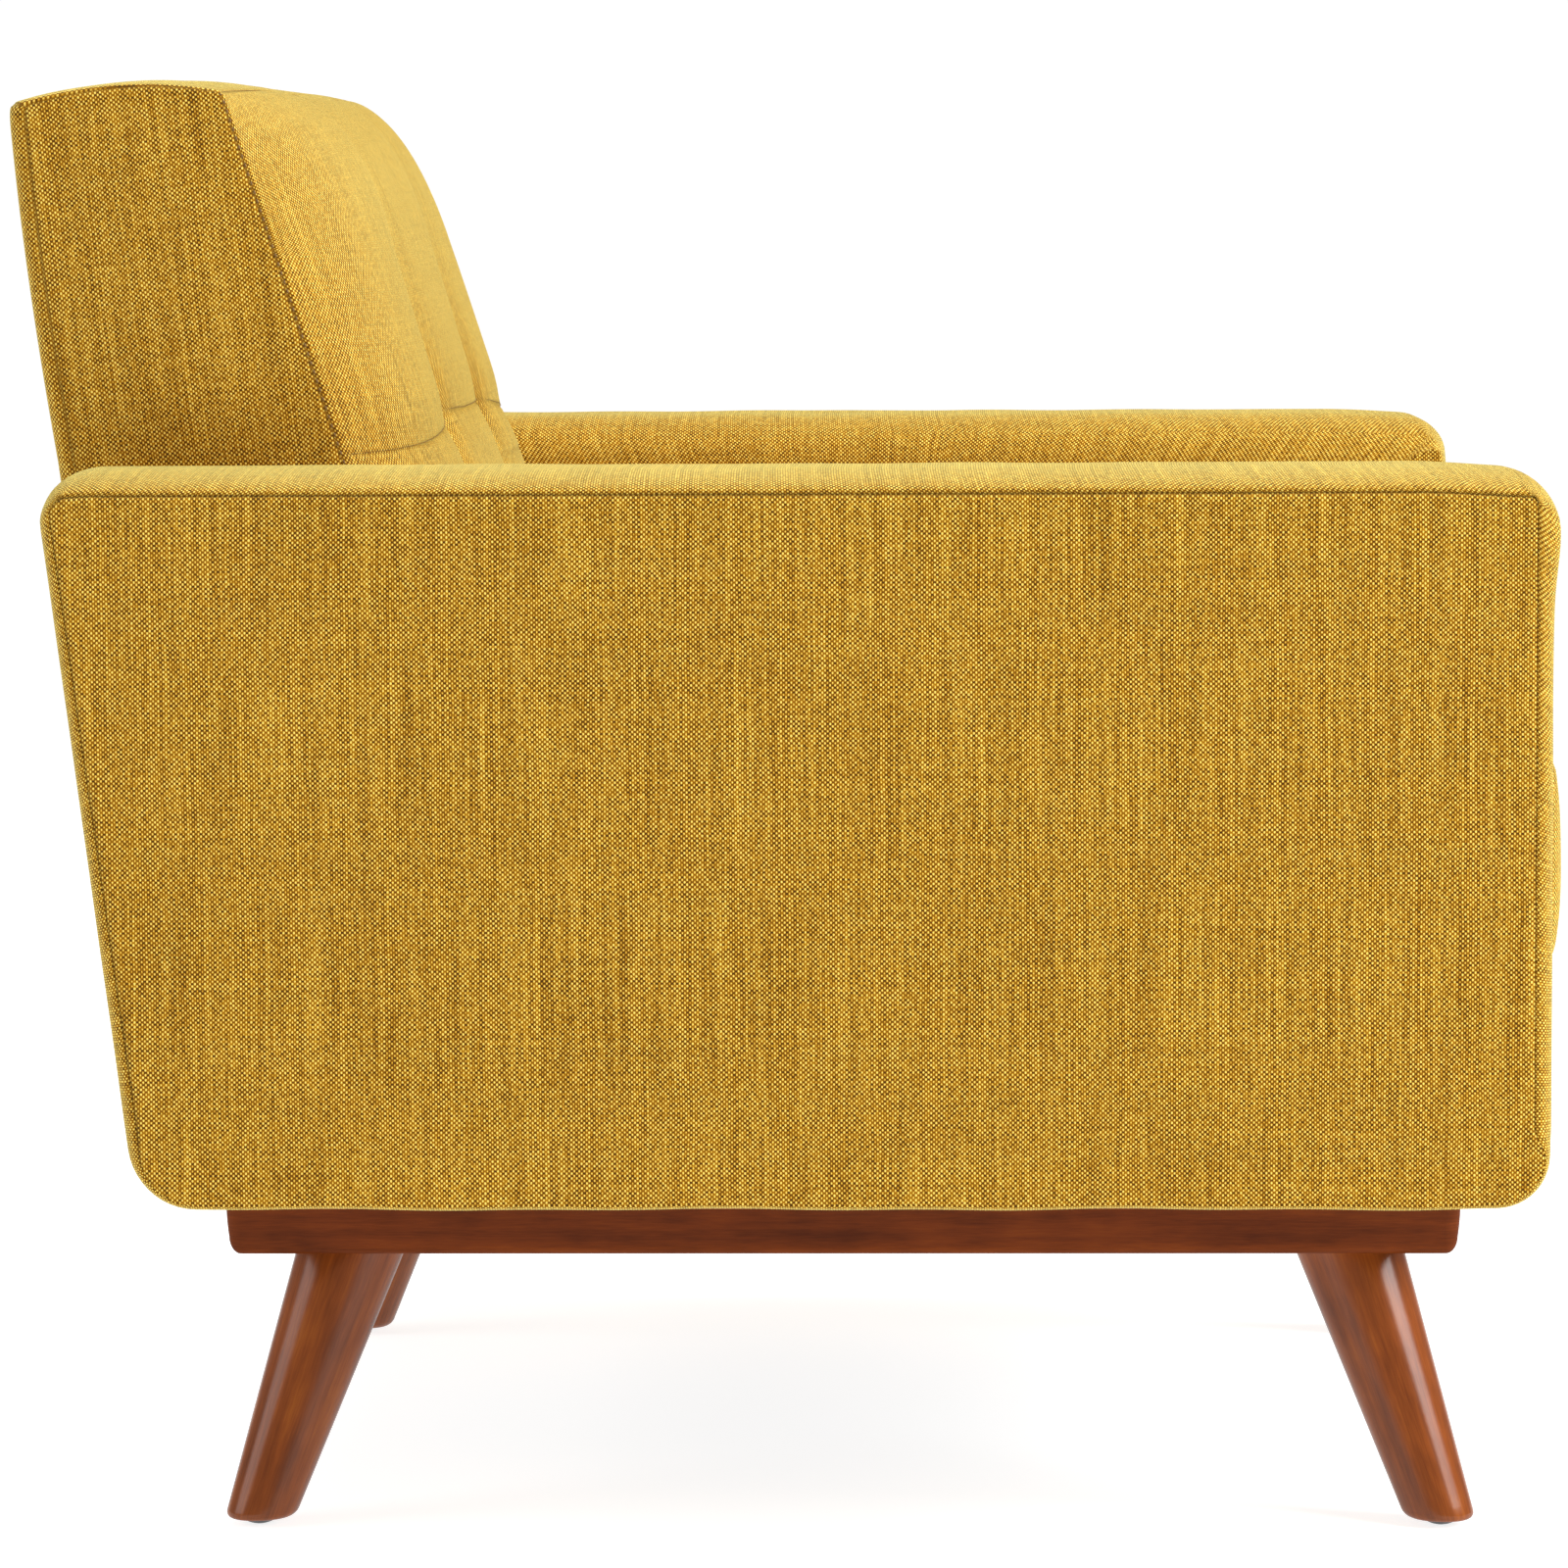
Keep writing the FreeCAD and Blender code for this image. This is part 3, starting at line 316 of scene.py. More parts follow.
@dataclass(frozen=True)
class WovenUpholstery:
    """Plain-woven polyester upholstery cloth in slub yarn.

    Thick and thin yarns give upright streaks. The colour follows the weave's height: the raised
    warp floats get a painted highlight as bright beads and the holes between the threads get
    painted shade in dark ochre. Along the seams the cloth gets painted shade. Loose fibres give
    a pale sheen at low angles.
    """

    name: str = "woven_slub_upholstery"
    warp_pitch: float = 1.38
    weft_pitch: float = 1.31
    streak: float = 130.0
    # Ramp colours by the weave's height: the hole colour is painted shade in the holes between threads, the bead colour
    # a painted highlight on the raised floats.
    hole: str = "422400"
    shade: str = "8A5600"
    yarn: str = "C38E0E"
    bead: str = "F1D970"
    # Colour of the painted shade in the seam grooves, mixed in by the seam attribute.
    seam: str = "6B4504"
    relief: float = 0.35

    def make(self) -> bpy.types.Material:
        """Builds the weave from the product of two sine waves, one per thread direction."""
        material, tree, shader = blank(self.name)
        cloth = add_node(tree, "ShaderNodeUVMap", {"uv_map": CLOTH_UV}).outputs[0]
        waver = add_node(tree, "ShaderNodeTexNoise", {"noise_dimensions": "2D"},
                         {"Vector": cloth, "Scale": 1000 / 35, "Detail": 2.0})
        shift = add_node(tree, "ShaderNodeVectorMath", {"operation": "MULTIPLY_ADD"},
                         {0: waver.outputs["Color"], 1: (0.0010, 0.0008, 0), 2: cloth}).outputs[0]
        count = add_node(tree, "ShaderNodeVectorMath", {"operation": "MULTIPLY"},
                         {0: shift, 1: (1000 / self.warp_pitch, 1000 / self.weft_pitch, 0)}).outputs[0]
        parts = add_node(tree, "ShaderNodeSeparateXYZ", inputs={0: count})
        waves = []
        for axis in ("X", "Y"):
            turn = add_node(tree, "ShaderNodeMath", {"operation": "MULTIPLY"},
                            {0: parts.outputs[axis], 1: math.pi}).outputs[0]
            waves.append(add_node(tree, "ShaderNodeMath", {"operation": "SINE"}, {0: turn}).outputs[0])
        over = add_node(tree, "ShaderNodeMath", {"operation": "MULTIPLY"}, {0: waves[0], 1: waves[1]}).outputs[0]
        edge = add_node(tree, "ShaderNodeMath", {"operation": "ABSOLUTE"}, {0: waves[0]}).outputs[0]
        cell = add_node(tree, "ShaderNodeVectorMath", {"operation": "FLOOR"}, {0: count}).outputs[0]
        bead = add_node(tree, "ShaderNodeTexWhiteNoise", {"noise_dimensions": "2D"}, {"Vector": cell}).outputs[0]
        thread = add_node(tree, "ShaderNodeVectorMath", {"operation": "MULTIPLY"},
                          {0: cell, 1: (0.83, 1.3 / self.streak, 0)}).outputs[0]
        slub = add_node(tree, "ShaderNodeTexNoise", {"noise_dimensions": "2D"},
                        {"Vector": thread, "Scale": 1.0, "Detail": 1.0, "Roughness": 0.5}).outputs[0]
        pick = add_node(tree, "ShaderNodeVectorMath", {"operation": "MULTIPLY"},
                        {0: cell, 1: (1.0 / self.streak, 0.77, 0)}).outputs[0]
        bar = add_node(tree, "ShaderNodeTexNoise", {"noise_dimensions": "2D"},
                       {"Vector": pick, "Scale": 1.0, "Detail": 1.0}).outputs[0]
        high = add_node(tree, "ShaderNodeMath", {"operation": "MULTIPLY_ADD"}, {0: over, 1: 0.43, 2: 0.06}).outputs[0]
        high = add_node(tree, "ShaderNodeMath", {"operation": "MULTIPLY_ADD"}, {0: edge, 1: 0.36, 2: high}).outputs[0]
        for extra, share, middle in ((bead, 0.26, 0.5), (slub, 0.38, 0.5), (bar, 0.12, 0.5)):
            centred = add_node(tree, "ShaderNodeMath", {"operation": "SUBTRACT"}, {0: extra, 1: middle}).outputs[0]
            high = add_node(tree, "ShaderNodeMath", {"operation": "MULTIPLY_ADD"},
                            {0: centred, 1: share, 2: high}).outputs[0]
        high = add_node(tree, "ShaderNodeMath", {"operation": "ADD", "use_clamp": True}, {0: high, 1: 0.16}).outputs[0]
        # Painted shade and highlight: the ramp darkens the low holes and lightens the raised floats by the same height
        # that drives the bump; slub, bar and per-bead noise are the yarn's own uneven tone.
        colour = ramp(tree, high, {0.08: self.hole, 0.36: self.shade, 0.62: self.yarn, 0.92: self.bead})
        # Painted shade: the seam attribute mixes the cloth towards the seam colour, darkening it in the seam grooves.
        deep = add_node(tree, "ShaderNodeAttribute", {"attribute_name": SEAM_SHADE_ATTRIBUTE}).outputs["Fac"]
        dark = add_node(tree, "ShaderNodeMix", {"data_type": "RGBA"},
                        {"Factor": deep, 6: colour, 7: linear(self.seam)}).outputs[2]
        tree.links.new(dark, shader.inputs["Base Color"])
        bump = add_node(tree, "ShaderNodeBump", inputs={"Strength": 0.55, "Distance": self.relief * MM,
                                                        "Height": high})
        tree.links.new(bump.outputs[0], shader.inputs["Normal"])
        rough = add_node(tree, "ShaderNodeMapRange", inputs={0: high, 3: 0.96, 4: 0.78})
        tree.links.new(rough.outputs[0], shader.inputs["Roughness"])
        shader.inputs["Sheen Weight"].default_value = 0.56
        shader.inputs["Sheen Roughness"].default_value = 0.46
        shader.inputs["Sheen Tint"].default_value = linear("F0F29A")
        shader.inputs["Specular IOR Level"].default_value = 0.1
        return material


@dataclass(frozen=True)
class StainedWood:
    """Turned or moulded rubberwood, stained red-brown and lacquered satin.

    Fine short pores and slow bands along the grain show through a smooth clear coat,
    which gives soft bright lines where the wood is round.
    """

    name: str
    dark: str = "5C2B0D"
    middle: str = "834216"
    light: str = "A15A1C"
    pore: float = 0.9
    band: float = 9.0
    coat: float = 0.68

    def make(self) -> bpy.types.Material:
        """Builds bands and pores from noise drawn out along the second cloth coordinate."""
        material, tree, shader = blank(self.name)
        place = add_node(tree, "ShaderNodeUVMap", {"uv_map": CLOTH_UV}).outputs[0]
        layers = []
        for across, along, detail in ((self.band, 160.0, 3.0), (self.pore, 14.0, 2.0), (28.0, 45.0, 2.0)):
            stretched = add_node(tree, "ShaderNodeVectorMath", {"operation": "MULTIPLY"},
                                 {0: place, 1: (1000 / across, 1000 / along, 1)}).outputs[0]
            layers.append(add_node(tree, "ShaderNodeTexNoise", {"noise_dimensions": "2D"},
                                   {"Vector": stretched, "Scale": 1.0, "Detail": detail,
                                    "Roughness": 0.6}).outputs[0])
        mix = add_node(tree, "ShaderNodeMath", {"operation": "MULTIPLY_ADD"},
                       {0: layers[1], 1: 0.28, 2: -0.14}).outputs[0]
        mix = add_node(tree, "ShaderNodeMath", {"operation": "MULTIPLY_ADD"},
                       {0: layers[0], 1: 0.60, 2: mix}).outputs[0]
        mix = add_node(tree, "ShaderNodeMath", {"operation": "MULTIPLY_ADD", "use_clamp": True},
                       {0: layers[2], 1: 0.35, 2: mix}).outputs[0]
        colour = ramp(tree, mix, {0.25: self.dark, 0.55: self.middle, 0.85: self.light})
        tree.links.new(colour, shader.inputs["Base Color"])
        rough = add_node(tree, "ShaderNodeMapRange", inputs={0: layers[1], 3: 0.52, 4: 0.40})
        tree.links.new(rough.outputs[0], shader.inputs["Roughness"])
        bump = add_node(tree, "ShaderNodeBump", inputs={"Strength": 0.25, "Distance": 0.00008,
                                                        "Height": layers[1]})
        tree.links.new(bump.outputs[0], shader.inputs["Normal"])
        shader.inputs["Coat Weight"].default_value = self.coat
        shader.inputs["Coat Roughness"].default_value = 0.22
        shader.inputs["Specular IOR Level"].default_value = 0.0
        return material


@dataclass(frozen=True)
class Grained:
    """A finish whose detail is noise on object coordinates, stretched by a size along each axis.

    It serves the pieces inside: sawn pine, zinc-plated steel, moulded polyethylene, felt, webbing,
    spun-bonded cloth and polyurethane foam.
    """

    name: str
    dark: str
    light: str
    size: tuple[float, float, float]
    rough: tuple[float, float] = (0.6, 0.85)
    metal: float = 0.0
    relief: float = 0.1
    sheen: float = 0.0

    def make(self) -> bpy.types.Material:
        """Builds two layers of noise, the second five times finer."""
        material, tree, shader = blank(self.name)
        place = add_node(tree, "ShaderNodeTexCoord").outputs["Object"]
        scaled = add_node(tree, "ShaderNodeVectorMath", {"operation": "MULTIPLY"},
                          {0: place, 1: tuple(1000 / s for s in self.size)}).outputs[0]
        coarse = add_node(tree, "ShaderNodeTexNoise", inputs={"Vector": scaled, "Scale": 1.0, "Detail": 3.0})
        fine = add_node(tree, "ShaderNodeTexNoise", inputs={"Vector": scaled, "Scale": 5.0, "Detail": 2.0})
        mixed = add_node(tree, "ShaderNodeMath", {"operation": "MULTIPLY_ADD"},
                         {0: fine.outputs[0], 1: 0.4, 2: -0.2}).outputs[0]
        mixed = add_node(tree, "ShaderNodeMath", {"operation": "ADD", "use_clamp": True},
                         {0: mixed, 1: coarse.outputs[0]}).outputs[0]
        tree.links.new(ramp(tree, mixed, {0.25: self.dark, 0.75: self.light}), shader.inputs["Base Color"])
        rough = add_node(tree, "ShaderNodeMapRange", inputs={0: mixed, 3: self.rough[1], 4: self.rough[0]})
        tree.links.new(rough.outputs[0], shader.inputs["Roughness"])
        bump = add_node(tree, "ShaderNodeBump", inputs={"Strength": 0.5, "Distance": self.relief * MM,
                                                        "Height": mixed})
        tree.links.new(bump.outputs[0], shader.inputs["Normal"])
        shader.inputs["Metallic"].default_value = self.metal
        shader.inputs["Sheen Weight"].default_value = self.sheen
        return material


# Sawn pine and plywood: pale, dull, with long fibres.
FRAME_WOOD = Grained("sawn_pine", "A97B4C", "D6AE78", (6, 60, 6), (0.7, 0.9), relief=0.15)
# Zinc-plated drawn steel: grey with a cold, fairly sharp gloss.
STEEL = Grained("zinc_plated_steel", "8E9294", "C3C6C8", (3, 3, 3), (0.28, 0.5), metal=1.0, relief=0.02)
# Moulded polyethylene: black with a soft gloss.
GLIDE_PLASTIC = Grained("moulded_polyethylene", "0B0B0C", "1E1E20", (2, 2, 2), (0.3, 0.5), relief=0.03)
# Spun-bonded polypropylene cloth: black, matt, with short pressed fibres.
DUST_CLOTH = Grained("spunbonded_cloth", "0D0D0E", "262628", (1.6, 1.6, 1.6), (0.8, 0.95), relief=0.2, sheen=0.1)
# Needled felt: grey, matt and hairy.
DECK_FELT = Grained("needled_felt", "7D7870", "AAA498", (2.5, 2.5, 2.5), (0.9, 1.0), relief=0.5, sheen=0.3)
# Jute webbing: coarse brown yarn.
WEBBING = Grained("jute_webbing", "5E4B30", "94794F", (1.5, 3.0, 1.5), (0.85, 0.95), relief=0.4)
# Cut polyurethane foam: off-white and open-celled.
FOAM = Grained("cut_foam", "D8CDA6", "F2E9C8", (1.2, 1.2, 1.2), (0.9, 1.0), relief=0.4)
# Bonded polyester sewing thread: a little darker than the cloth, with a slight gloss.
THREAD = Grained("sewing_thread", "5C3C08", "7C5716", (0.8, 0.8, 0.8), (0.45, 0.6), relief=0.05)


@dataclass
class Palette:
    """Every material of the sofa, made once."""

    cloth: bpy.types.Material = field(init=False)
    thread: bpy.types.Material = field(init=False)
    legs: bpy.types.Material = field(init=False)
    rails: bpy.types.Material = field(init=False)
    inside: dict[str, bpy.types.Material] = field(init=False)

    def __post_init__(self) -> None:
        """Makes the materials."""
        self.cloth = WovenUpholstery().make()
        self.thread = THREAD.make()
        self.legs = StainedWood("lacquered_turned_rubberwood").make()
        self.rails = StainedWood("lacquered_moulded_rubberwood", dark="4B200A", middle="693010", light="803F14",
                                  coat=0.12).make()
        self.inside = {
            "frame_wood": FRAME_WOOD.make(),
            "steel": STEEL.make(),
            "glide_plastic": GLIDE_PLASTIC.make(),
            "dust_cloth": DUST_CLOTH.make(),
            "webbing": WEBBING.make(),
            "deck_felt": DECK_FELT.make(),
            "foam": FOAM.make(),
            "stained_wood": FRAME_WOOD.make(),
            "upholstery": DECK_FELT.make(),
        }

    def dress_nodes(self, nodes: dict[str, bpy.types.Object], words: dict[str, tuple[str, ...]]) -> None:
        """Puts the inside finishes on the frame's own nodes.

        Args:
            nodes: the frame's node objects by name.
            words: beginnings of node names for each slot.
        """
        for name, thing in nodes.items():
            slot = next((s for s, starts in words.items() if name.startswith(starts)), "frame_wood")
            thing.data.materials.clear()
            thing.data.materials.append(self.inside[slot])


# ---------------------------------------------------------------- padded slabs


@dataclass
class Outline:
    """A four-cornered flat outline with rounded corners, as a closed run of points.

    Corners go round once: low-first, low-last, high-last, high-first, in (along, up) mm.
    """

    corners: np.ndarray
    rounds: tuple[float, float, float, float]
    tighten: tuple[float, float, float, float] = (1.0, 1.0, 1.0, 1.0)
    along: int = 110
    upright: int = 48
    turn: int = 10

    def ring(self, inset: float) -> np.ndarray:
        """The outline moved inwards, with the same number of points for every inset.

        Each side moves in by the inset, each corner's radius falls by the inset times tighten, and
        points are spread evenly on the sides and by angle on the corners.

        Args:
            inset: how far inwards, mm; below 0 is outwards.

        Returns:
            Points as rows of (along, up); the last repeats the first.
        """
        sides = np.roll(self.corners, -1, axis=0) - self.corners
        units = sides / np.linalg.norm(sides, axis=1)[:, None]
        inward = np.stack([-units[:, 1], units[:, 0]], axis=1)
        moved = []
        for i in range(4):
            before, here = inward[i - 1], inward[i]
            grid = np.array([before, here])
            moved.append(np.linalg.solve(grid, grid @ self.corners[i] + inset))
        moved = np.array(moved)
        arcs = []
        for i in range(4):
            round_in = max(self.rounds[i] - inset * self.tighten[i], 0.5)
            before, here = inward[i - 1], inward[i]
            centre = moved[i] + (before + here) * round_in / (1 + before @ here)
            first = math.atan2(-before[1], -before[0])
            last = math.atan2(-here[1], -here[0])
            last += 2 * math.pi if last < first else 0.0
            angle = np.linspace(first, last, self.turn)
            arcs.append(centre + round_in * np.stack([np.cos(angle), np.sin(angle)], axis=1))
        run = []
        for i in range(4):
            count = self.along if i % 2 == 0 else self.upright
            share = np.linspace(0, 1, count)[1:-1, None]
            run += [arcs[i], arcs[i][-1] * (1 - share) + arcs[(i + 1) % 4][0] * share]
        return np.concatenate(run + [arcs[0][:1]])

    def spine(self) -> np.ndarray:
        """Where each point of a ring ends up when the ring shrinks to the slab's middle line.

        Points of the long sides go to the same share of the line, the others to its ends.

        Returns:
            Points as rows of (along, up), as many as a ring has.
        """
        middle = self.corners.mean(axis=0)
        half = np.ptp(self.corners[:, 1]) / 2
        first = np.array([self.corners[[0, 3], 0].mean() + half, middle[1]])
        last = np.array([self.corners[[1, 2], 0].mean() - half, middle[1]])
        if last[0] < first[0]:
            first = last = middle
        out = np.linspace(0, 1, self.along)[1:-1]
        share = np.concatenate([np.zeros(self.turn), out, np.ones(self.turn), np.ones(self.upright - 2),
                                np.ones(self.turn), out[::-1], np.zeros(self.turn), np.zeros(self.upright - 2), [0.0]])
        return first + (last - first) * share[:, None]


@dataclass
class Slab:
    """A flat padded part: an outline with a thickness, a sewn rim on its face and a soft rim behind.

    A band runs round it from the face's seam over the rim to the back. Face and back close
    towards the outline's middle line.
    """

    outline: Outline
    thick: float
    face_rim: tuple[float, float] = (12.0, 14.0)
    back_rim: tuple[float, float] = (22.0, 22.0)
    crown: float = 2.0
    groove: float = 2.4
    face_swell: float = 1.5
    back_swell: float = 0.0
    seed: float = 0.3
    unseamed_low: bool = True
    plain_rim: float = 0.4
    side_rise: float = 0.0
    square_back: float = 0.18

    def face_inset(self, depth: np.ndarray) -> np.ndarray:
        """Inset of the face's rim at a depth: a quarter ellipse."""
        return self.face_rim[0] * (1 - np.sqrt(1 - (1 - np.clip(depth / self.face_rim[1], 0, 1)) ** 2))

    def profile(self) -> np.ndarray:
        """The band's section: quarter ellipse, crowned middle, quarter ellipse.

        Returns:
            Rows of (inset, depth, groove share), from the face's seam to the back.
        """
        inset_face, deep_face = self.face_rim
        inset_back, deep_back = self.back_rim
        start = np.radians(8)
        near = np.linspace(start, np.pi / 2, 12)
        first = np.stack([inset_face * (1 - np.sin(near)), deep_face * (1 - np.cos(near))], axis=1)
        first[:, 0] *= 1.0
        run = np.linspace(deep_face, self.thick - deep_back, 16)[1:-1]
        middle = np.stack([np.zeros_like(run), run], axis=1)
        far = np.linspace(np.pi / 2, 0, 12)
        last = np.stack([inset_back * (1 - np.sin(far)), self.thick - deep_back * (1 - np.cos(far))], axis=1)
        lead = np.array([[first[0, 0] + 0.9, first[0, 1] + 0.2], [first[0, 0] + 0.45, first[0, 1] + 0.05]])
        rows = np.concatenate([lead, first, middle, last])
        rows[:, 0] -= self.crown * np.sin(np.pi * np.clip(rows[:, 1] / self.thick, 0, 1)) ** 0.8
        share = np.zeros(len(rows))
        share[:4] = (1.0, 0.62, 0.2, 0.04)
        return np.column_stack([rows, share])

    def seamed(self) -> np.ndarray:
        """1 where the face has a seam, falling to 0 along the first side, round a corner each."""
        o = self.outline
        total = len(o.spine())
        along = np.arange(total, dtype=float)
        low_end = o.turn + o.along - 2
        if not self.unseamed_low:
            return np.ones(total)
        rise = smooth(along, low_end + o.turn * 0.2, low_end + o.turn * 1.2)
        fall = 1 - smooth(along, total - 4, total - 1)
        return rise * np.where(along > total - 4, fall, 1.0)

    def panels(self) -> tuple[list[Panel], np.ndarray, np.ndarray]:
        """Works out the slab in its own axes: along, up and depth behind the face.

        Returns:
            Band, face and back as panels of (along, up, depth), the seam's points and its strength.
        """
        rows = self.profile()
        strength = self.seamed()
        rings = np.stack([self.outline.ring(r[0]) for r in rows])
        if self.side_rise:
            tight = self.face_rim[0] * (1 - np.sqrt(1 - (1 - np.clip(rows[:, 1] / self.side_rise, 0, 1)) ** 2))
            tight = np.where(rows[:, 1] < self.thick / 2, tight + rows[:, 0] - self.face_inset(rows[:, 1]),
                             rows[:, 0] * self.square_back)
            upper = self.outline.ring(0.0)[:, 1:]
            upper = smooth(upper, upper.max() - 26, upper.max() - 8)
            beside = np.stack([self.outline.ring(inset) for inset in tight])
            rings = beside * (1 - upper) + rings * upper
            place = self.outline.ring(0.0)[:, 0]
            behind = smooth(place, place.max() - 90, place.max() - 8) * (1 - upper[:, 0])
            ahead = (1 - smooth(place, place.min() + 8, place.min() + 26)) * (1 - upper[:, 0])
            strength = strength * (1 - 0.4 * behind) * (1 - 0.5 * ahead)
            wide = 0.7 * ahead * strength
        else:
            wide = 0.0
        share = (self.plain_rim + (1 - self.plain_rim) * strength + wide)[:, None]
        front_half = (rows[:, 1] < self.thick / 2)[:, None, None]
        rings = np.where(front_half, self.outline.ring(0.0) * (1 - share) + rings * share, rings)
        depth = np.broadcast_to(rows[:, 1][:, None], rings.shape[:2]).copy()
        depth += self.groove * rows[:, 2][:, None] * strength
        outer = self.outline.ring(0.0)
        travel = np.concatenate([[0], np.cumsum(np.linalg.norm(np.diff(outer, axis=0), axis=1))])
        steps = np.hypot(np.linalg.norm(np.diff(rings, axis=0), axis=-1), np.diff(rows[:, 1])[:, None])
        across = np.concatenate([np.zeros((1, len(travel))), np.cumsum(steps, axis=0)])
        uneven = 0.5 * ripple(travel[None, :], across * 1.5, self.seed)
        middle = self.outline.corners.mean(axis=0)
        away = rings - middle
        away /= np.linalg.norm(away, axis=-1, keepdims=True) + 1e-9
        keep = np.sin(np.pi * np.clip(rows[:, 1] / self.thick, 0, 1))[:, None]
        rings = rings + away * (uneven * keep)[..., None]
        cloth = np.stack(np.broadcast_arrays(travel[None, :], across), axis=-1)
        # The band's seam values are painted shade in the face seam's groove.
        band = Panel(np.concatenate([rings, depth[..., None]], axis=-1), cloth,
                     np.clip(rows[:, 2][:, None] * strength, 0, 1) * 0.55)
        face = self._lid(rings[0], depth[0], strength, True)
        back = self._lid(rings[-1], depth[-1], strength, False)
        return [band, face, back], band.points[0], strength

    def _lid(self, ring: np.ndarray, depth: np.ndarray, strength: np.ndarray, is_face: bool) -> Panel:
        """Closes one side of the slab by drawing its edge ring in to the middle line.

        The depth eases from the edge into a shallow swell; beside a seam the cloth dips in,
        stands up over the folded seam allowance 4 to 6 mm on, and puckers a little.

        Args:
            ring: the edge's points, (along, up).
            depth: the edge's depth.
            strength: how strongly each point of the edge is seamed.
            is_face: True for the face, False for the back.

        Returns:
            The panel.
        """
        spine = self.outline.spine()
        reach = np.linalg.norm(spine - ring, axis=1)
        near = np.array([0, 0.5, 1.1, 2.0, 3.2, 4.6, 6.2, 8.0, 10.5, 14, 19])
        share_far = np.linspace(0, 1, 20)[1:]
        from_edge = near[:, None] * np.ones_like(reach)
        rest = near[-1] + (reach[None, :] - near[-1]) * share_far[:, None]
        from_edge = np.concatenate([from_edge, rest])
        share = np.clip(from_edge / reach[None, :], 0, 1)[..., None]
        flat = ring[None] * (1 - share) + spine[None] * share
        low, high = self.outline.corners.min(axis=0), self.outline.corners.max(axis=0)
        place = (flat - low) / (high - low)
        dome = np.clip(16 * place[..., 0] * (1 - place[..., 0]) * place[..., 1] * (1 - place[..., 1]), 0, 1) ** 0.5
        run = np.concatenate([[0], np.cumsum(np.linalg.norm(np.diff(ring, axis=0), axis=1))])[None, :]
        level = 0.0 if is_face else self.thick
        out = -1.0 if is_face else 1.0
        swell = (self.face_swell if is_face else self.back_swell) * dome * smooth(from_edge, 0, 60)
        settle = bell(from_edge, 1.3)
        surface = level + (depth[None, :] - level) * settle
        if is_face:
            allowance = 0.45 * bell(from_edge - 5.2, 2.2) * strength
            pucker = 0.22 * np.sin(run * 0.41) * np.exp(-from_edge / 9.0) * strength * (1 - settle)
            swell = swell + allowance + pucker
        swell = swell + 0.5 * ripple(flat[..., 0], flat[..., 1], self.seed + 2) * smooth(from_edge, 2, 50)
        surface = surface + out * swell
        points = np.concatenate([flat, surface[..., None]], axis=-1)
        # Painted shade along the face's seam, fading within about a millimetre of it.
        dark = bell(from_edge, 0.7) * strength * (0.55 if is_face else 0.0)
        return Panel(points, flat.copy(), dark)


def place_slab(panels: list[Panel], order: tuple[int, int, int], face_at: float, away: float) -> None:
    """Turns slab axes into the sofa's.

    Args:
        panels: panels of (along, up, depth), changed in place.
        order: which of X, Y and Z along, up and depth become.
        face_at: where depth 0 lies on its axis, mm.
        away: 1 if depth grows towards +, -1 towards -.
    """
    for panel in panels:
        turned = np.empty_like(panel.points)
        turned[..., order[0]] = panel.points[..., 0]
        turned[..., order[1]] = panel.points[..., 1]
        turned[..., order[2]] = face_at + away * panel.points[..., 2]
        panel.points = turned


def stitches(name: str, path: np.ndarray, across: np.ndarray, out: np.ndarray, weight: np.ndarray,
             pitch: float = 4.6, long: float = 3.0, wide: float = 1.0) -> list[np.ndarray]:
    """Sewing stitches along a seam: short spindles, pointed at both ends, one per pitch.

    Each is two end points and a ring of five points at a quarter and at three quarters.

    Args:
        name: kept for the log.
        path: points along the seam, mm.
        across: unit directions across the seam at those points.
        out: unit directions out of the cloth at those points.
        weight: 0 where there is no seam.
        pitch: distance from one stitch to the next, mm.
        long: length of a stitch, mm.
        wide: width of a stitch, mm.

    Returns:
        Vertices, and faces padded with -1, both as arrays.
    """
    step = np.linalg.norm(np.diff(path, axis=0), axis=1)
    travel = np.concatenate([[0], np.cumsum(step)])
    centres = np.arange(pitch / 2, travel[-1], pitch)

    def at(values: np.ndarray, places: np.ndarray) -> np.ndarray:
        """Values read between the path's points."""
        return np.stack([np.interp(places, travel, values[:, k]) for k in range(3)], axis=1)

    centres = centres[np.interp(centres, travel, weight) > 0.5]
    lean = at(across, centres)
    lift = at(out, centres)
    angle = np.arange(5) * 2 * np.pi / 5
    ring = (np.cos(angle)[None, :, None] * lean[:, None, :] + 0.7 * np.sin(angle)[None, :, None] * lift[:, None, :])
    ring = ring * wide / 2
    first = at(path, centres - long / 2)
    last = at(path, centres + long / 2)
    quarter = at(path, centres - long / 4)[:, None, :] + ring
    three = at(path, centres + long / 4)[:, None, :] + ring
    vertices = np.concatenate([first[:, None], quarter, three, last[:, None]], axis=1)
    k = np.arange(5)
    nxt = (k + 1) % 5
    tips = np.concatenate([np.stack([k * 0, 1 + nxt, 1 + k, k * 0 - 1], 1),
                           np.stack([k * 0 + 11, 6 + k, 6 + nxt, k * 0 - 1], 1)])
    walls = np.stack([1 + k, 1 + nxt, 6 + nxt, 6 + k], 1)
    pattern = np.concatenate([tips, walls])
    offsets = (np.arange(len(centres)) * 12)[:, None, None]
    faces = np.where(pattern[None] < 0, -1, pattern[None] + offsets).reshape(-1, 4)
    log.info("%s: %d stitches", name, len(centres))
    return [vertices.reshape(-1, 3), faces]


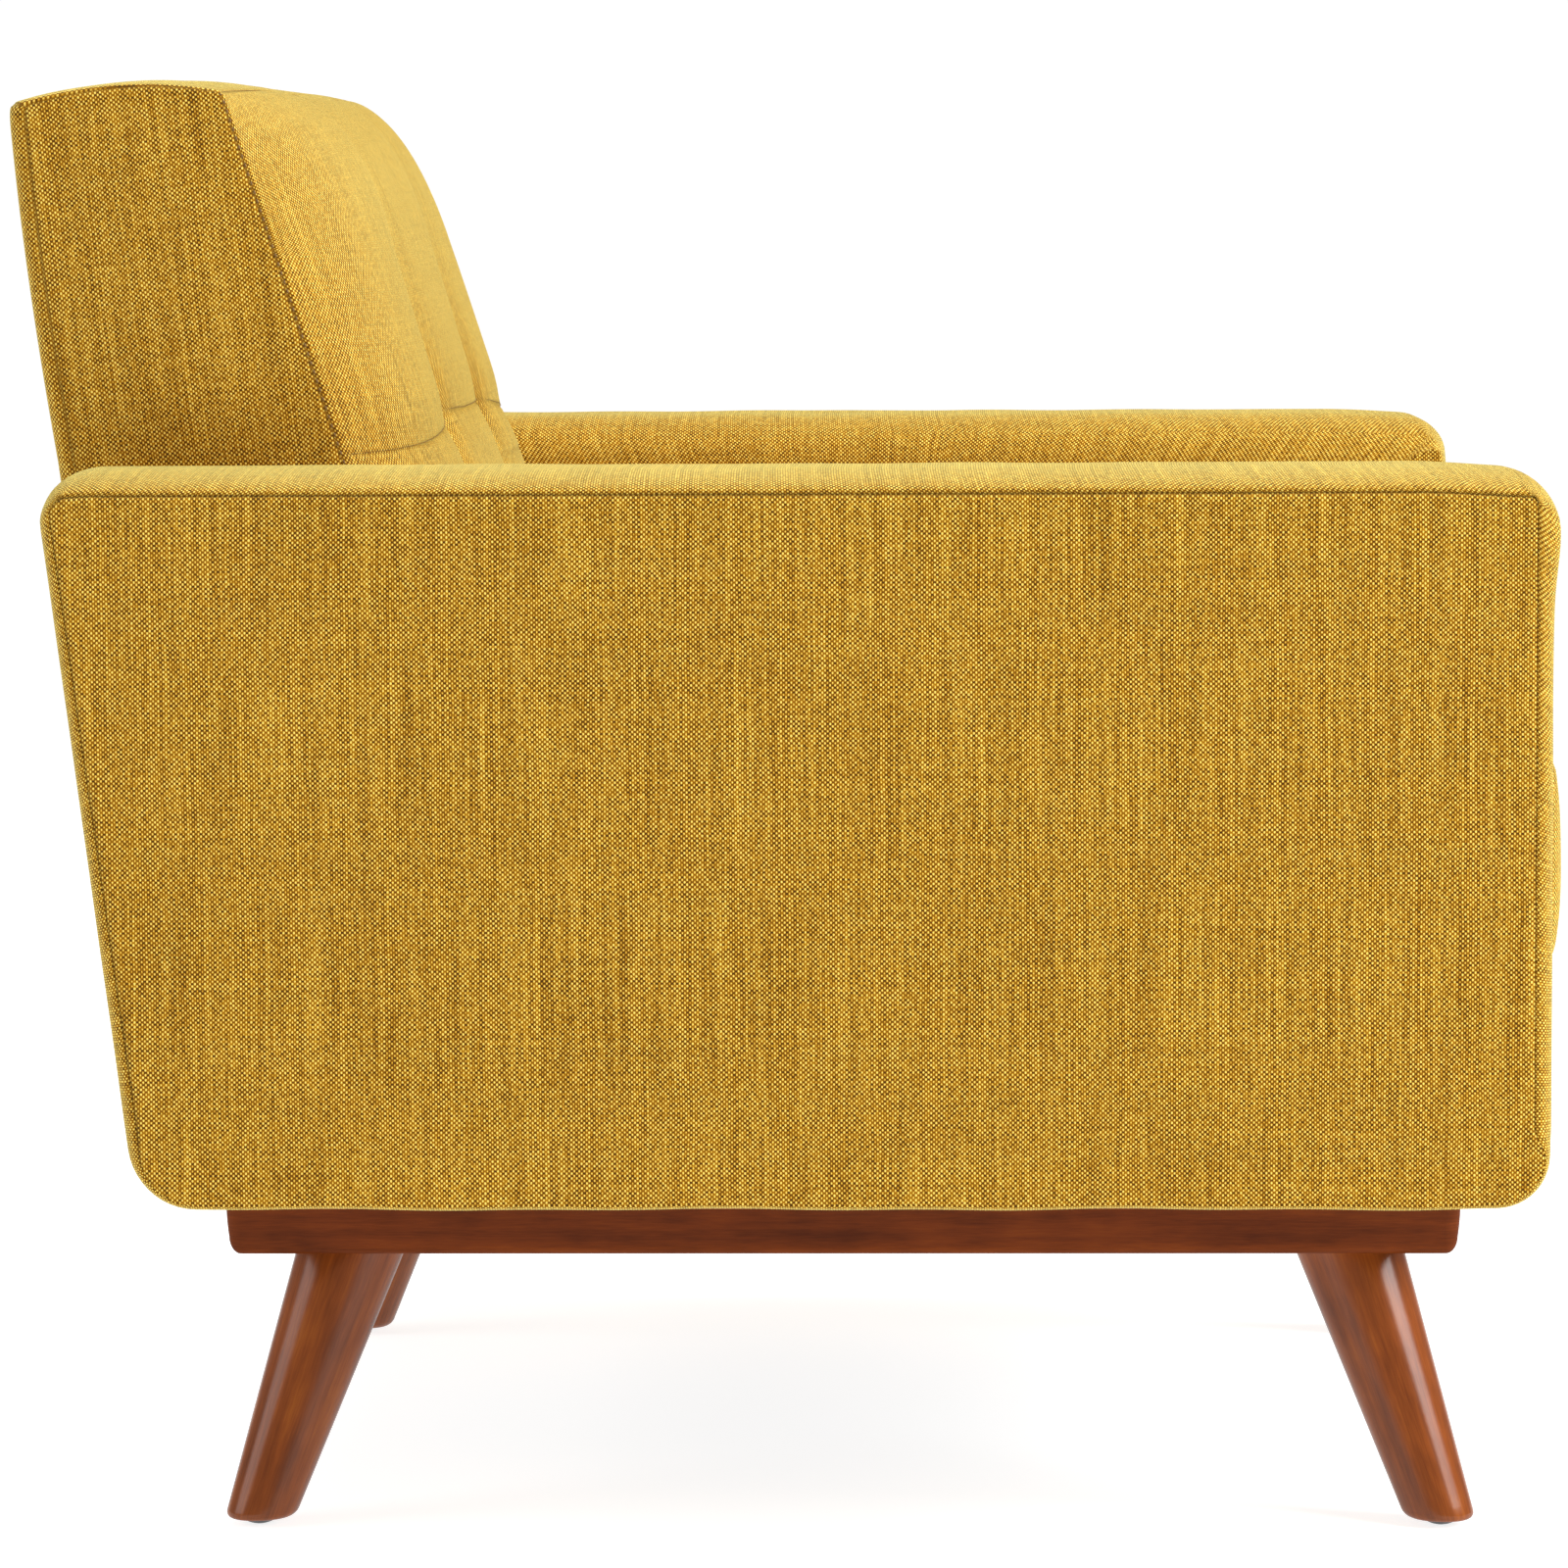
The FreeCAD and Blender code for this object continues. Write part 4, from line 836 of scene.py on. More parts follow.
def thread_piece(name: str, runs: list[list[np.ndarray]]) -> bpy.types.Object:
    """Puts several runs of stitches into one object.

    Args:
        name: name of the object.
        runs: what stitches() returned, once for each run.

    Returns:
        The object.
    """
    starts = np.cumsum([0] + [len(r[0]) for r in runs])
    points = np.concatenate([r[0] for r in runs]) * MM
    faces = [[int(i + s) for i in row if i >= 0] for r, s in zip(runs, starts) for row in r[1]]
    mesh = bpy.data.meshes.new(name)
    mesh.from_pydata(points.tolist(), [], faces)
    shell = bmesh.new()
    shell.from_mesh(mesh)
    bmesh.ops.recalc_face_normals(shell, faces=shell.faces)
    shell.to_mesh(mesh)
    shell.free()
    mesh.shade_smooth()
    thing = bpy.data.objects.new(name, mesh)
    bpy.context.scene.collection.objects.link(thing)
    return thing


# ---------------------------------------------------------------- arms


@dataclass
class Arm:
    """One upholstered arm: a tall padded slab, sewn round its outer face, cloth drawn under its foot."""

    side: Side
    rake: float = 0.126
    low_round: float = 29.0
    heel_round: float = 37.0
    nose_round: float = 22.0
    tail_round: float = 20.0
    front_bulge: float = 3.4
    nose_drop: float = 3.0
    tail_drop: float = 2.0
    crown: float = 2.0

    @property
    def nodes(self) -> tuple[str, ...]:
        """The frame's soft nodes that the cover stands for."""
        return tuple(f"arm_{self.side.word}_{part}" for part in
                     ("outer_panel", "top_pad", "front_pad", "rear_pad", "inner_pad"))

    def build(self, palette: Palette) -> None:
        """Makes the cover.

        The slab is laid out in (Y, Z) with its face outwards. Its upper corners are then pulled
        down and its front rolled out, as functions of Y and Z.

        Args:
            palette: the materials.
        """
        low, high = span(*self.nodes)
        low[1] += self.crown
        low[2] += 0.2
        high[1] += 1.6
        top = high[2] - self.crown - 1.4
        foot = high[1] - (high[2] - low[2]) * self.rake
        corners = np.array([[low[1], low[2]], [foot, low[2]], [foot + (top - low[2]) * self.rake, top], [low[1], top]])
        outline = Outline(corners, (self.low_round, self.heel_round, self.tail_round, self.nose_round),
                          (1.0, 1.0, 1.6, 2.0), along=150,
                          upright=70, turn=12)
        slab = Slab(outline, thick=high[0] - low[0], crown=self.crown, groove=1.5, seed=self.side.value * 1.1,
                    face_rim=(11.0, 52.0), back_rim=(32.0, 38.0), side_rise=15.0)
        panels, _, _ = slab.panels()
        face_at = high[0] if self.side is Side.LEFT else low[0]
        place_slab(panels, (1, 2, 0), face_at, -self.side.value)
        for panel in panels:
            y, z = panel.points[..., 1], panel.points[..., 2]
            depth = np.abs(panel.points[..., 0] - face_at)
            upper = smooth(z, top - 120, top - 5)
            z_new = z - upper * (self.nose_drop * (1 - smooth(y, low[1], low[1] + 75))
                                 + self.tail_drop * smooth(y, high[1] - 32, high[1]))
            roll = (1 - smooth(y, low[1], low[1] + 60)) * bell(z - 574, 26) * smooth(depth, 0, 12)
            wave = (0.7 * np.sin(y / 61.0 + 1.0) * np.sin(y / 23.0) - 0.4) * (1 - smooth(z, low[2], low[2] + 26))
            panel.points[..., 1] = y - self.front_bulge * roll
            panel.points[..., 2] = z_new + wave
        # The back of the slab stays off the cushion and the seat beside it.
        inner = low[0] if self.side is Side.LEFT else high[0]
        for panel in panels:
            x = panel.points[..., 0]
            panel.points[..., 0] = np.maximum(x, inner) if self.side is Side.LEFT else np.minimum(x, inner)
        cover = sew(f"arm_{self.side.word}_cover", panels)
        finish_piece(cover, FRAME_BODY, palette.cloth, self.nodes)


# ---------------------------------------------------------------- back


@dataclass
class Back:
    """The tufted back: front sewn in three columns, side gussets, a crowned top and a tight rear.

    All faces share the same rows up and the same columns across, so that they close on each other.
    """

    tuft_at: float = 132.0
    face_lean: float = 0.335
    knee: float = 450.0
    side_lean: float = 0.32
    side_lag: float = 50.0
    rake: float = 0.126
    arm_top: float = 609.0
    wing_low: float = 588.0
    seam_low: float = 613.0
    seam_rise: float = 15.0
    valley: float = 12.0
    tuft: float = 9.0
    fullness: float = 6.5
    crest_at: float = 355.0
    rear_top: float = 425.0

    nodes: tuple[str, ...] = ("back_upper_pad", "back_lower_pad", "back_top_pad", "back_side_pads",
                              "back_upper_rear_panel", "back_lower_rear_panel")

    def __post_init__(self) -> None:
        """Takes the overall sizes from the frame."""
        low, high = span(*self.nodes)
        pad_low, pad_high = span("back_lower_pad")
        upper_low, upper_high = span("back_upper_pad", "back_side_pads")
        self.half_upper = upper_high[0]
        self.half_lower = pad_high[0] - 0.5
        self.top = high[2]
        self.front_low = pad_low[2]
        self.rear_low = low[2]
        self.face_base = pad_low[1]
        self.rear_foot = span("back_lower_rear_panel")[1][1] - (self.arm_top - self.rear_low) * self.rake

    def half(self, z: np.ndarray) -> np.ndarray:
        """Half width: narrow between the arms, wide above them."""
        return self.half_lower + (self.half_upper - self.half_lower) * smooth(z, self.wing_low, self.wing_low + 8)

    def face(self, z: np.ndarray) -> np.ndarray:
        """Foremost Y of the columns: upright up to the knee, then leaning back."""
        return self.face_base + np.maximum(z - self.knee, 0) * self.face_lean

    def side_seam(self, z: np.ndarray) -> np.ndarray:
        """Y of the front seam at the sides."""
        above = self.face(np.asarray(610.0)) + self.side_lag + (z - 610) * self.side_lean
        below = self.face(z) + 24
        share = smooth(z, self.wing_low - 2, self.wing_low + 10)
        return below * (1 - share) + above * share

    def rear(self, z: np.ndarray) -> np.ndarray:
        """Y of the rear face, rounded off at the top."""
        lean = self.rear_foot + (z - self.rear_low) * self.rake
        swell = 2.2 * np.sin(np.pi * np.clip((z - 609) / 200, 0, 1))
        return lean + swell - 5.5 * np.exp(-np.maximum(self.rear_edge - z, 0) / 4.0)

    def crest(self, y: np.ndarray, b: np.ndarray) -> np.ndarray:
        """Height of the top: a parabola front to rear, lower towards the side seams."""
        away = y - self.crest_at
        fall = np.where(away > 0, 0.0021, 0.0021) * away ** 2
        return self.top - fall - 4.2 * np.abs(b) ** 6

    @property
    def rear_edge(self) -> float:
        """Height of the top's rear edge in the middle."""
        return float(self.crest(np.asarray(self.rear_top), np.asarray(0.0)))

    def tuft_line(self, x: np.ndarray) -> np.ndarray:
        """Height of the cross seam: it rises from the sides to the tufts and runs level between them."""
        share = (self.half_upper - np.abs(x)) / (self.half_upper - self.tuft_at)
        return self.seam_low + self.seam_rise * np.clip(share, 0, 1) ** 1.6

    def columns(self) -> np.ndarray:
        """Shares across from -1 to 1, close together near both sides."""
        return graded(2 * self.half_upper, 6.0) / self.half_upper - 1

    def heights(self) -> np.ndarray:
        """Rows of the front from its foot to the start of the brow."""
        stops = ((self.front_low, 583, 9.0), (583, 608, 1.6), (608, 632, 1.3), (632, 722, 6.0))
        runs = [np.arange(a, b, s) for a, b, s in stops]
        return np.concatenate([*runs, [722.0]])

    def front(self, b: np.ndarray, heights: np.ndarray) -> tuple[np.ndarray, np.ndarray, np.ndarray]:
        """The front's points before tufting.

        Up to the brow it is a lens across, side seam + (face - side seam) (1 - |b|^fullness).
        The brow is a quadratic Bezier curve from there to the top seam.

        Args:
            b: shares across.
            heights: rows up to the brow.

        Returns:
            Points, share of the lens at each column, and the brow's rows as shares.
        """
        lens = 1 - np.abs(b) ** self.fullness
        z = heights[:, None] + 0 * b[None, :]
        y = self.side_seam(z) + (self.face(z) - self.side_seam(z)) * lens[None, :]
        x = self.half(z) * b[None, :]
        face = np.stack([x, y, z], axis=-1)
        t = np.array([0.05, 0.1, 0.15, 0.2, 0.25, 0.3, 0.35, 0.4, 0.45, 0.5, 0.55, 0.6, 0.65, 0.7, 0.745, 0.79, 0.83, 0.865, 0.895,
                      0.92, 0.94, 0.957, 0.97, 0.981, 0.991, 1.0])
        start = face[-1]
        end_y = (self.face(np.asarray(self.top)) + 34.0) * lens + self.side_seam(np.asarray(815.0)) * (1 - lens)
        end = np.stack([start[:, 0], end_y, self.crest(end_y, b)], axis=-1)
        lean = np.array([0.0, 0.30, 1.0])
        mid_full = start + lean * 89
        bend = lens[:, None] * mid_full + (1 - lens[:, None]) * (start + end) / 2
        t3 = t[:, None, None]
        brow = (1 - t3) ** 2 * start + 2 * t3 * (1 - t3) * bend + t3 ** 2 * end
        return np.concatenate([face, brow]), lens, t

    def build(self, palette: Palette) -> None:
        """Makes the cover and the thread of its seams.

        Args:
            palette: the materials.
        """
        b = self.columns()
        heights = self.heights()
        front, lens, t = self.front(b, heights)
        rows = len(front)
        down_step = np.linalg.norm(np.diff(front[:, len(b) // 2], axis=0), axis=-1)
        up = np.concatenate([[0], np.cumsum(down_step)])
        from_top = up[-1] - up
        from_side = (1 - np.abs(b)) * self.half_upper

        # rear: same rows by share of height, same columns, turned round the corner at its sides
        share_up = (front[:, 0, 2] - self.front_low) / (front[-1, 0, 2] - self.front_low)
        knee_share = (self.wing_low - self.front_low) / (front[-1, 0, 2] - self.front_low)
        z_side = front[:, 0, 2]
        z_rear = np.where(share_up < knee_share,
                          self.rear_low + (z_side - self.front_low) * (self.wing_low - self.rear_low) / (self.wing_low - self.front_low),
                          z_side)
        z_top = self.crest(np.asarray(self.rear_top), b)
        lift = smooth(share_up, knee_share, 1.0)
        z = z_rear[:, None] + lift[:, None] * (z_top[None, :] - z_rear[-1])
        half = self.half(z_side)[:, None]
        corner = 9.0
        side_run = from_side[None, :]
        quarter = np.clip(side_run / (corner * 1.2), 0, 1) * np.pi / 2
        inset = np.where(side_run < corner * 1.2, corner * (1 - np.cos(quarter)), 0)
        tuck = np.where(side_run < corner * 1.2, corner * (1 - np.sin(quarter)), 0)
        flat = half - corner
        inner = np.clip((side_run - corner * 1.2) / (self.half_upper - corner * 1.2), 0, 1)
        x_abs = np.where(side_run < corner * 1.2, half - inset, flat * (1 - inner))
        x = np.sign(b)[None, :] * x_abs
        seat_back = 0.8 * ripple(x, z, 4.0) * smooth(side_run, 0, 60) * smooth(from_top[:, None], 0, 40)
        swell = 3.0 * smooth(side_run, 0, 160) * smooth(from_top[:, None], 0, 60)
        y = self.rear(z) - tuck + seat_back + swell * smooth(z, self.rear_low, self.rear_low + 60)
        rear = np.stack([x, y, z], axis=-1)

        # top: from the front's last row to the rear's last row
        c_run = graded(105.0, 6.0) / 105.0
        c = c_run[:, None]
        top_x = front[-1, :, 0] * (1 - c) + rear[-1, :, 0] * c
        top_y = front[-1, :, 1] * (1 - c) + rear[-1, :, 1] * c
        blend = smooth(c, 0.6, 1.0)
        top_z = self.crest(top_y, b[None, :]) * (1 - blend) + blend * self.crest(top_y, b[None, :])
        first_gap = front[-1, :, 2] - top_z[0]
        last_gap = rear[-1, :, 2] - top_z[-1]
        top_z = top_z + first_gap * (1 - c) + last_gap * c
        top = np.stack([top_x, top_y, top_z], axis=-1)

        # sides: ruled between the front's and the rear's outer columns, its upper row on the top's edge
        sides = []
        for column, sign in ((0, -1), (-1, 1)):
            ruled = front[:, column][:, None] * (1 - c_run)[None, :, None] + rear[:, column][:, None] * c_run[None, :, None]
            gap = top[:, column] - ruled[-1]
            fade = smooth(share_up, 0.75, 1.0)[:, None, None]
            ruled = ruled + gap[None] * fade
            width = c_run[None, :] * 105
            near = np.minimum(width, 105 - width)
            puff = 2.6 * smooth(near, 0, 45) * smooth(from_top[:, None], 0, 50)
            puff = puff * smooth(ruled[..., 2], 600, 640) + 0.5 * ripple(ruled[..., 1], ruled[..., 2], sign) * (
                smooth(near, 0, 20) * smooth(from_top[:, None], 0, 20) * smooth(ruled[..., 2], 600, 620))
            ruled[..., 0] += sign * puff
            sides.append(ruled)
        under_c = c_run[:, None, None]
        under = front[0][None] * (1 - under_c) + rear[0][None] * under_c

        # tufting of the front: valleys, pinches, the cross seam and the folds that run out of them
        fx, fy, fz = front[..., 0], front[..., 1], front[..., 2]
        line = self.tuft_line(fx)
        valleys = sum(0.8 * bell(fx - s * self.tuft_at, 26.0) + 0.6 * bell(fx - s * self.tuft_at, 60.0) for s in (-1, 1))
        along = 0.22 + 0.78 * bell(fz - line, 80.0)
        tuft = sum(bell(np.hypot(fx - s * self.tuft_at, (fz - line) * 0.8), 22.0) for s in (-1, 1))
        crease = sum(bell(fx - s * self.tuft_at - 1.5 * np.sin(fz / 19.0 + s), 4.0) for s in (-1, 1)) * bell(fz - line, 75.0)
        channel = 2.6 * bell(fz - line, 13.0) + 1.0 * bell(fz - line, 1.3)
        fade_side = smooth(from_side[None, :], 0, 26)
        fade_low = smooth(fz, 470, 560) * 0.7 + 0.3
        push = self.valley * 0.7 * valleys * along * fade_low + self.tuft * tuft + 2.6 * crease + channel * (0.55 + 0.45 * fade_side)
        near_top = smooth(from_top[:, None], 0, 30)
        push = push * (0.45 + 0.55 * near_top) * np.where(from_side[None, :] < 2, 0.0, fade_side * 0.8 + 0.2)
        folds = sum(np.sin(6 * np.arctan2(fz - line, fx - s * self.tuft_at) + s) *
                    bell(np.hypot(fx - s * self.tuft_at, fz - line) - 26, 18) for s in (-1, 1))
        push = push - 0.5 * folds * fade_side * near_top
        push = push - 0.8 * ripple(fx * 0.5, fz * 0.5, 9.0) * fade_side * near_top
        lean = math.atan(self.face_lean)
        tilt = lean + (math.radians(62) - lean) * smooth(up - up[len(heights) - 1], 0, from_top[len(heights) - 1])
        front[..., 1] += push * np.cos(tilt)[:, None]
        front[..., 2] -= push * np.sin(tilt)[:, None]
        notch = front[-1] - top[0]
        top = top + notch[None] * bell(c_run * 105, 14.0)[:, None, None]
        top_hollow = sum(bell(top[..., 0] - s * self.tuft_at, 17.0) for s in (-1, 1))
        top[..., 2] += (-1.4 * top_hollow + 0.5 * ripple(top[..., 0], top[..., 1], 5.0)) * (
            smooth(c * 105, 0, 16) * smooth((1 - c) * 105, 0, 16) * smooth(from_side, 0, 20)[None, :])

        panels, seams = self._groove(front, rear, top, sides, under, b, c_run, from_top, from_side, up, line)
        cover = sew("back_cover", panels)
        finish_piece(cover, FRAME_BODY, palette.cloth, self.nodes)
        runs = [stitches(name, path, across, out, weight, pitch, long, wide)
                for name, path, across, out, weight, pitch, long, wide in seams]
        finish_piece(thread_piece("back_seam_thread", runs), FRAME_BODY, palette.thread)

    def _groove(self, front: np.ndarray, rear: np.ndarray, top: np.ndarray, sides: list[np.ndarray],
                under: np.ndarray, b: np.ndarray, c_run: np.ndarray, from_top: np.ndarray, from_side: np.ndarray,
                up: np.ndarray, line: np.ndarray) -> tuple[list[Panel], list[tuple]]:
        """Presses every seam in along its own direction and sets the painted shade along each seam.

        A seam moves points by its depth times a bell of their distance from it.

        Args:
            front: grid of the front.
            rear: grid of the rear.
            top: grid of the top.
            sides: grids of both sides.
            under: grid of the underside.
            b: shares across.
            c_run: shares from front to rear.
            from_top: distance of each row from the top, mm.
            from_side: distance of each column from the sides, mm.
            up: distance of each row from the foot, mm.
            line: height of the cross seam on the front's grid.

        Returns:
            The panels, and for each sewn seam what stitches() needs.
        """
        narrow = 1.35
        deep = {"front_side": 2.2, "top_front": 1.3, "top_side": 1.3, "rear_side": 1.3, "top_rear": 1.3}
        edge_c = c_run * 105
        above = smooth(front[:, 0, 2], 604, 612)

        def press(grid: np.ndarray, distance: np.ndarray, amount: np.ndarray | float, way: np.ndarray) -> None:
            """Moves a grid towards way, by amount times the bell of distance."""
            size = (amount * bell(distance, narrow))[..., None]
            grid += np.broadcast_to(size * way, grid.shape)

        def unit(*parts: float) -> np.ndarray:
            """A direction of length 1."""
            v = np.array(parts, float)
            return v / np.linalg.norm(v)

        sign = np.sign(b)[None, :, None] * np.array([1.0, 0, 0])
        side_way = -0.8 * sign + np.array([0, 0.6, 0])
        press(front, from_side[None, :] + 0 * from_top[:, None], deep["front_side"], side_way)
        press(front, from_top[:, None] + 0 * from_side[None, :], deep["top_front"], unit(0, 0.5, -0.86))
        rear_way = -0.7 * sign + np.array([0, -0.7, 0])
        press(rear, from_side[None, :] + 0 * from_top[:, None], deep["rear_side"], rear_way)
        press(rear, from_top[:, None] + 0 * from_side[None, :], deep["top_rear"], unit(0, -0.7, -0.7))
        press(top, edge_c[:, None] + 0 * b[None, :], deep["top_front"], unit(0, 0.5, -0.86))
        press(top, 105 - edge_c[:, None] + 0 * b[None, :], deep["top_rear"], unit(0, -0.7, -0.7))
        for s_way, amount in ((-0.7 * sign + np.array([0, 0, -0.7]), deep["top_side"]),):
            press(top, from_side[None, :] + 0 * edge_c[:, None], amount, s_way)
        for grid, s in zip(sides, (-1, 1)):
            press(grid, edge_c[None, :] + 0 * from_top[:, None], deep["front_side"], np.array([-0.8 * s, 0.6, 0]))
            press(grid, 105 - edge_c[None, :] + 0 * from_top[:, None], deep["rear_side"], np.array([-0.7 * s, -0.7, 0]))
            press(grid, from_top[:, None] + 0 * edge_c[None, :], deep["top_side"], np.array([-0.7 * s, 0, -0.7]))
        # shared edges take one panel's place exactly, so that the shell closes
        top[0], rear[-1] = front[-1], top[-1]
        for grid, column in zip(sides, (0, -1)):
            grid[:, 0], grid[:, -1] = front[:, column], rear[:, column]
            grid[-1] = top[:, column]
            under[:, column] = grid[0]
        under[0], under[-1] = front[0], rear[0]

        # Painted shade along the back's seams: sides, top edges, rear edges and the cross seam.
        cross = 0.55 * bell(front[..., 2] - line, 1.0) * smooth(from_side, 1, 6)[None, :]
        seam_shade_front = np.maximum.reduce([0.7 * bell(from_side, 0.9)[None, :] * above[:, None],
                                        0.4 * bell(from_top, 0.9)[:, None] + 0 * b[None, :], 0.75 * cross])
        seam_shade_side = np.maximum.reduce([bell(edge_c, 1.1)[None, :] * above[:, None],
                                       0.7 * bell(105 - edge_c, 0.9)[None, :] * above[:, None],
                                       0.6 * bell(from_top, 0.9)[:, None] + 0 * edge_c[None, :]])
        seam_shade_top = 0.6 * np.maximum.reduce([bell(edge_c, 0.9)[:, None] + 0 * b, bell(105 - edge_c, 0.9)[:, None] + 0 * b,
                                            bell(from_side, 0.9)[None, :] + 0 * edge_c[:, None]])
        seam_shade_rear = 0.6 * np.maximum(bell(from_side, 0.9)[None, :] + 0 * from_top[:, None],
                                     bell(from_top, 0.9)[:, None] + 0 * b[None, :])
        x_run = np.concatenate([[0], np.cumsum(np.linalg.norm(np.diff(front[len(up) // 2], axis=0), axis=1))])
        rear_step = np.linalg.norm(np.diff(rear[len(up) // 2], axis=0), axis=1)
        rear_run = np.concatenate([[0], np.cumsum(rear_step)])[None, :] + 0 * rear[..., 0]
        face_cloth = np.stack(np.broadcast_arrays(x_run[None, :], up[:, None]), axis=-1)
        panels = [
            Panel(front, face_cloth, seam_shade_front),
            Panel(rear, np.stack([rear_run, rear[..., 2]], axis=-1), seam_shade_rear),
            Panel(top, np.stack([top[..., 0], top[..., 1]], axis=-1), seam_shade_top),
            Panel(under, np.stack([under[..., 0], under[..., 1]], axis=-1)),
        ]
        lean = 0.12
        for grid in sides:
            cloth = np.stack([grid[..., 1] - lean * grid[..., 2], grid[..., 2] + lean * grid[..., 1]], axis=-1)
            panels.append(Panel(grid, cloth, seam_shade_side))

        seams = []
        for column, s in ((0, -1), (-1, 1)):
            path = front[:, column] + np.array([0.95 * s, -0.8, 0])
            across = np.tile(np.array([0.45 * s, 0.9, 0.0]), (len(path), 1))
            out = np.tile(np.array([0.9 * s, -0.45, 0.0]), (len(path), 1))
            seams.append(("back side seam", path, across, out, above, 5.2, 3.0, 1.2))
        row = int(np.argmin(np.abs(front[:, len(b) // 2, 2] - self.seam_low - self.seam_rise)))
        cols = np.arange(len(b))
        level = np.argmin(np.abs(front[..., 2] - line), axis=0)
        path = front[level, cols] + np.array([0, -0.5, 0.2])
        weight = smooth(from_side, 3, 8)
        across = np.tile(np.array([0.0, 0.3, 0.95]), (len(path), 1))
        out = np.tile(np.array([0.0, -0.95, 0.3]), (len(path), 1))
        smoothed = path.copy()
        smoothed[2:-2] = (path[:-4] + path[1:-3] + path[2:-2] + path[3:-1] + path[4:]) / 5
        seams.append((f"back cross seam, row {row}", smoothed, across, out, weight, 3.4, 2.2, 0.5))
        path = front[-1] + np.array([0, -0.35, 0.6])
        across = np.tile(np.array([0.0, 0.8, 0.6]), (len(path), 1))
        out = np.tile(np.array([0.0, -0.6, 0.8]), (len(path), 1))
        seams.append(("back top seam", path, across, out, weight, 3.6, 2.2, 0.5))
        return panels, seams


# ---------------------------------------------------------------- seat


@dataclass
class SeatFront:
    """The padded front of the seat between the arms, whose cover runs on over the deck's front edge."""

    node: str = "seat_front_pad"
    lip: float = 82.0
    lip_thick: float = 5.0
    edge: float = 9.0

    def build(self, palette: Palette) -> None:
        """Carries one section across the seat.

        The outer line goes up the front, a quarter circle over the edge and back along the deck;
        the inner line follows it a pad's thickness inside. Both are joined along all four rims.

        Args:
            palette: the materials.
        """
        low, high = span(self.node)
        top = high[2] - 0.2
        turn = np.linspace(0, np.pi / 2, 12)[1:]
        rise = np.linspace(low[2] + 6, top - self.edge, 22)
        front = low[1] + 1.5
        foot = np.array([[front + 6, low[2]], [front + 3, low[2] + 0.8], [front + 0.8, low[2] + 3]])
        wall = np.column_stack([np.full_like(rise, front), rise])
        arc = np.column_stack([front + self.edge * (1 - np.cos(turn)), top - self.edge * (1 - np.sin(turn))])
        flat_y = np.linspace(front + self.edge, low[1] + self.lip, 16)[1:]
        flat = np.column_stack([flat_y, np.full_like(flat_y, top)])
        outer = np.concatenate([foot, wall, arc, flat])
        inner = np.column_stack([np.maximum(outer[:, 0], high[1] - 1),
                                 np.minimum(outer[:, 1], top - self.lip_thick)])
        across = graded(high[0] - low[0], 6.0) + low[0]
        from_end = np.minimum(across - low[0], high[0] - across)
        travel = np.concatenate([[0], np.cumsum(np.linalg.norm(np.diff(outer, axis=0), axis=1))])
        x = across[:, None] + 0 * travel[None, :]
        y = outer[None, :, 0] + 0 * x
        z = outer[None, :, 1] + 0 * x
        swell = 3.0 * np.sin(np.pi * np.clip((z - low[2]) / (high[2] - low[2]), 0, 1)) ** 0.7 * smooth(from_end, 0, 40)[:, None]
        tuck = 5.0 * (1 - smooth(from_end, 0, 9))[:, None] ** 2
        uneven = 0.7 * ripple(x, z, 3.3)
        on_front = smooth(-y, -front - 12, -front)
        y = y - (swell + uneven - tuck) * on_front
        outside = Panel(np.stack([x, y, z], axis=-1), np.stack([x, travel[None, :] + 0 * x], axis=-1))
        back = np.stack([x, inner[None, :, 0] + 0 * x, inner[None, :, 1] + 0 * x], axis=-1)
        panels = [outside, Panel(back, back[..., :2].copy())]
        for edge_a, edge_b in ((outside.points[0], back[0]), (outside.points[-1], back[-1]),
                               (outside.points[:, 0], back[:, 0]), (outside.points[:, -1], back[:, -1])):
            rim = np.stack([edge_a, edge_b])
            panels.append(Panel(rim, rim[..., 1:].copy()))
        cover = sew("seat_front_cover", panels)
        finish_piece(cover, FRAME_BODY, palette.cloth, (self.node,))


@dataclass
class Deck:
    """The felt deck over the springs: a thin quilted pad, stitched in from its edge."""

    node: str = "seat_deck_pad"
    front: SeatFront = field(default_factory=SeatFront)

    def build(self, palette: Palette) -> None:
        """Makes a flat slab in (X, Y), its face up, pressed down along five lines of quilting."""
        low, high = span(self.node)
        low[1] = max(low[1], span(self.front.node)[0][1] + self.front.lip + 0.5)
        corners = np.array([[low[0], low[1]], [high[0], low[1]], [high[0], high[1]], [low[0], high[1]]])
        outline = Outline(corners, (8.0, 8.0, 8.0, 8.0), along=90, upright=70, turn=8)
        slab = Slab(outline, thick=high[2] - low[2] - 0.4, face_rim=(4.0, 4.0), back_rim=(3.0, 3.0), crown=0.0,
                    groove=0.0, face_swell=0.0, seed=5.1)
        panels, _, _ = slab.panels()
        place_slab(panels, (0, 1, 2), high[2] - 0.4, -1)
        face = panels[1].points
        step = (high[0] - low[0]) / 6
        lines = sum(bell(face[..., 0] - low[0] - step * k, 7.0) for k in range(1, 6))
        face[..., 2] = np.minimum(face[..., 2] - 2.0 * lines, high[2])
        pad = sew("seat_deck_felt", panels)
        finish_piece(pad, FRAME_BODY, palette.inside["deck_felt"], (self.node,))


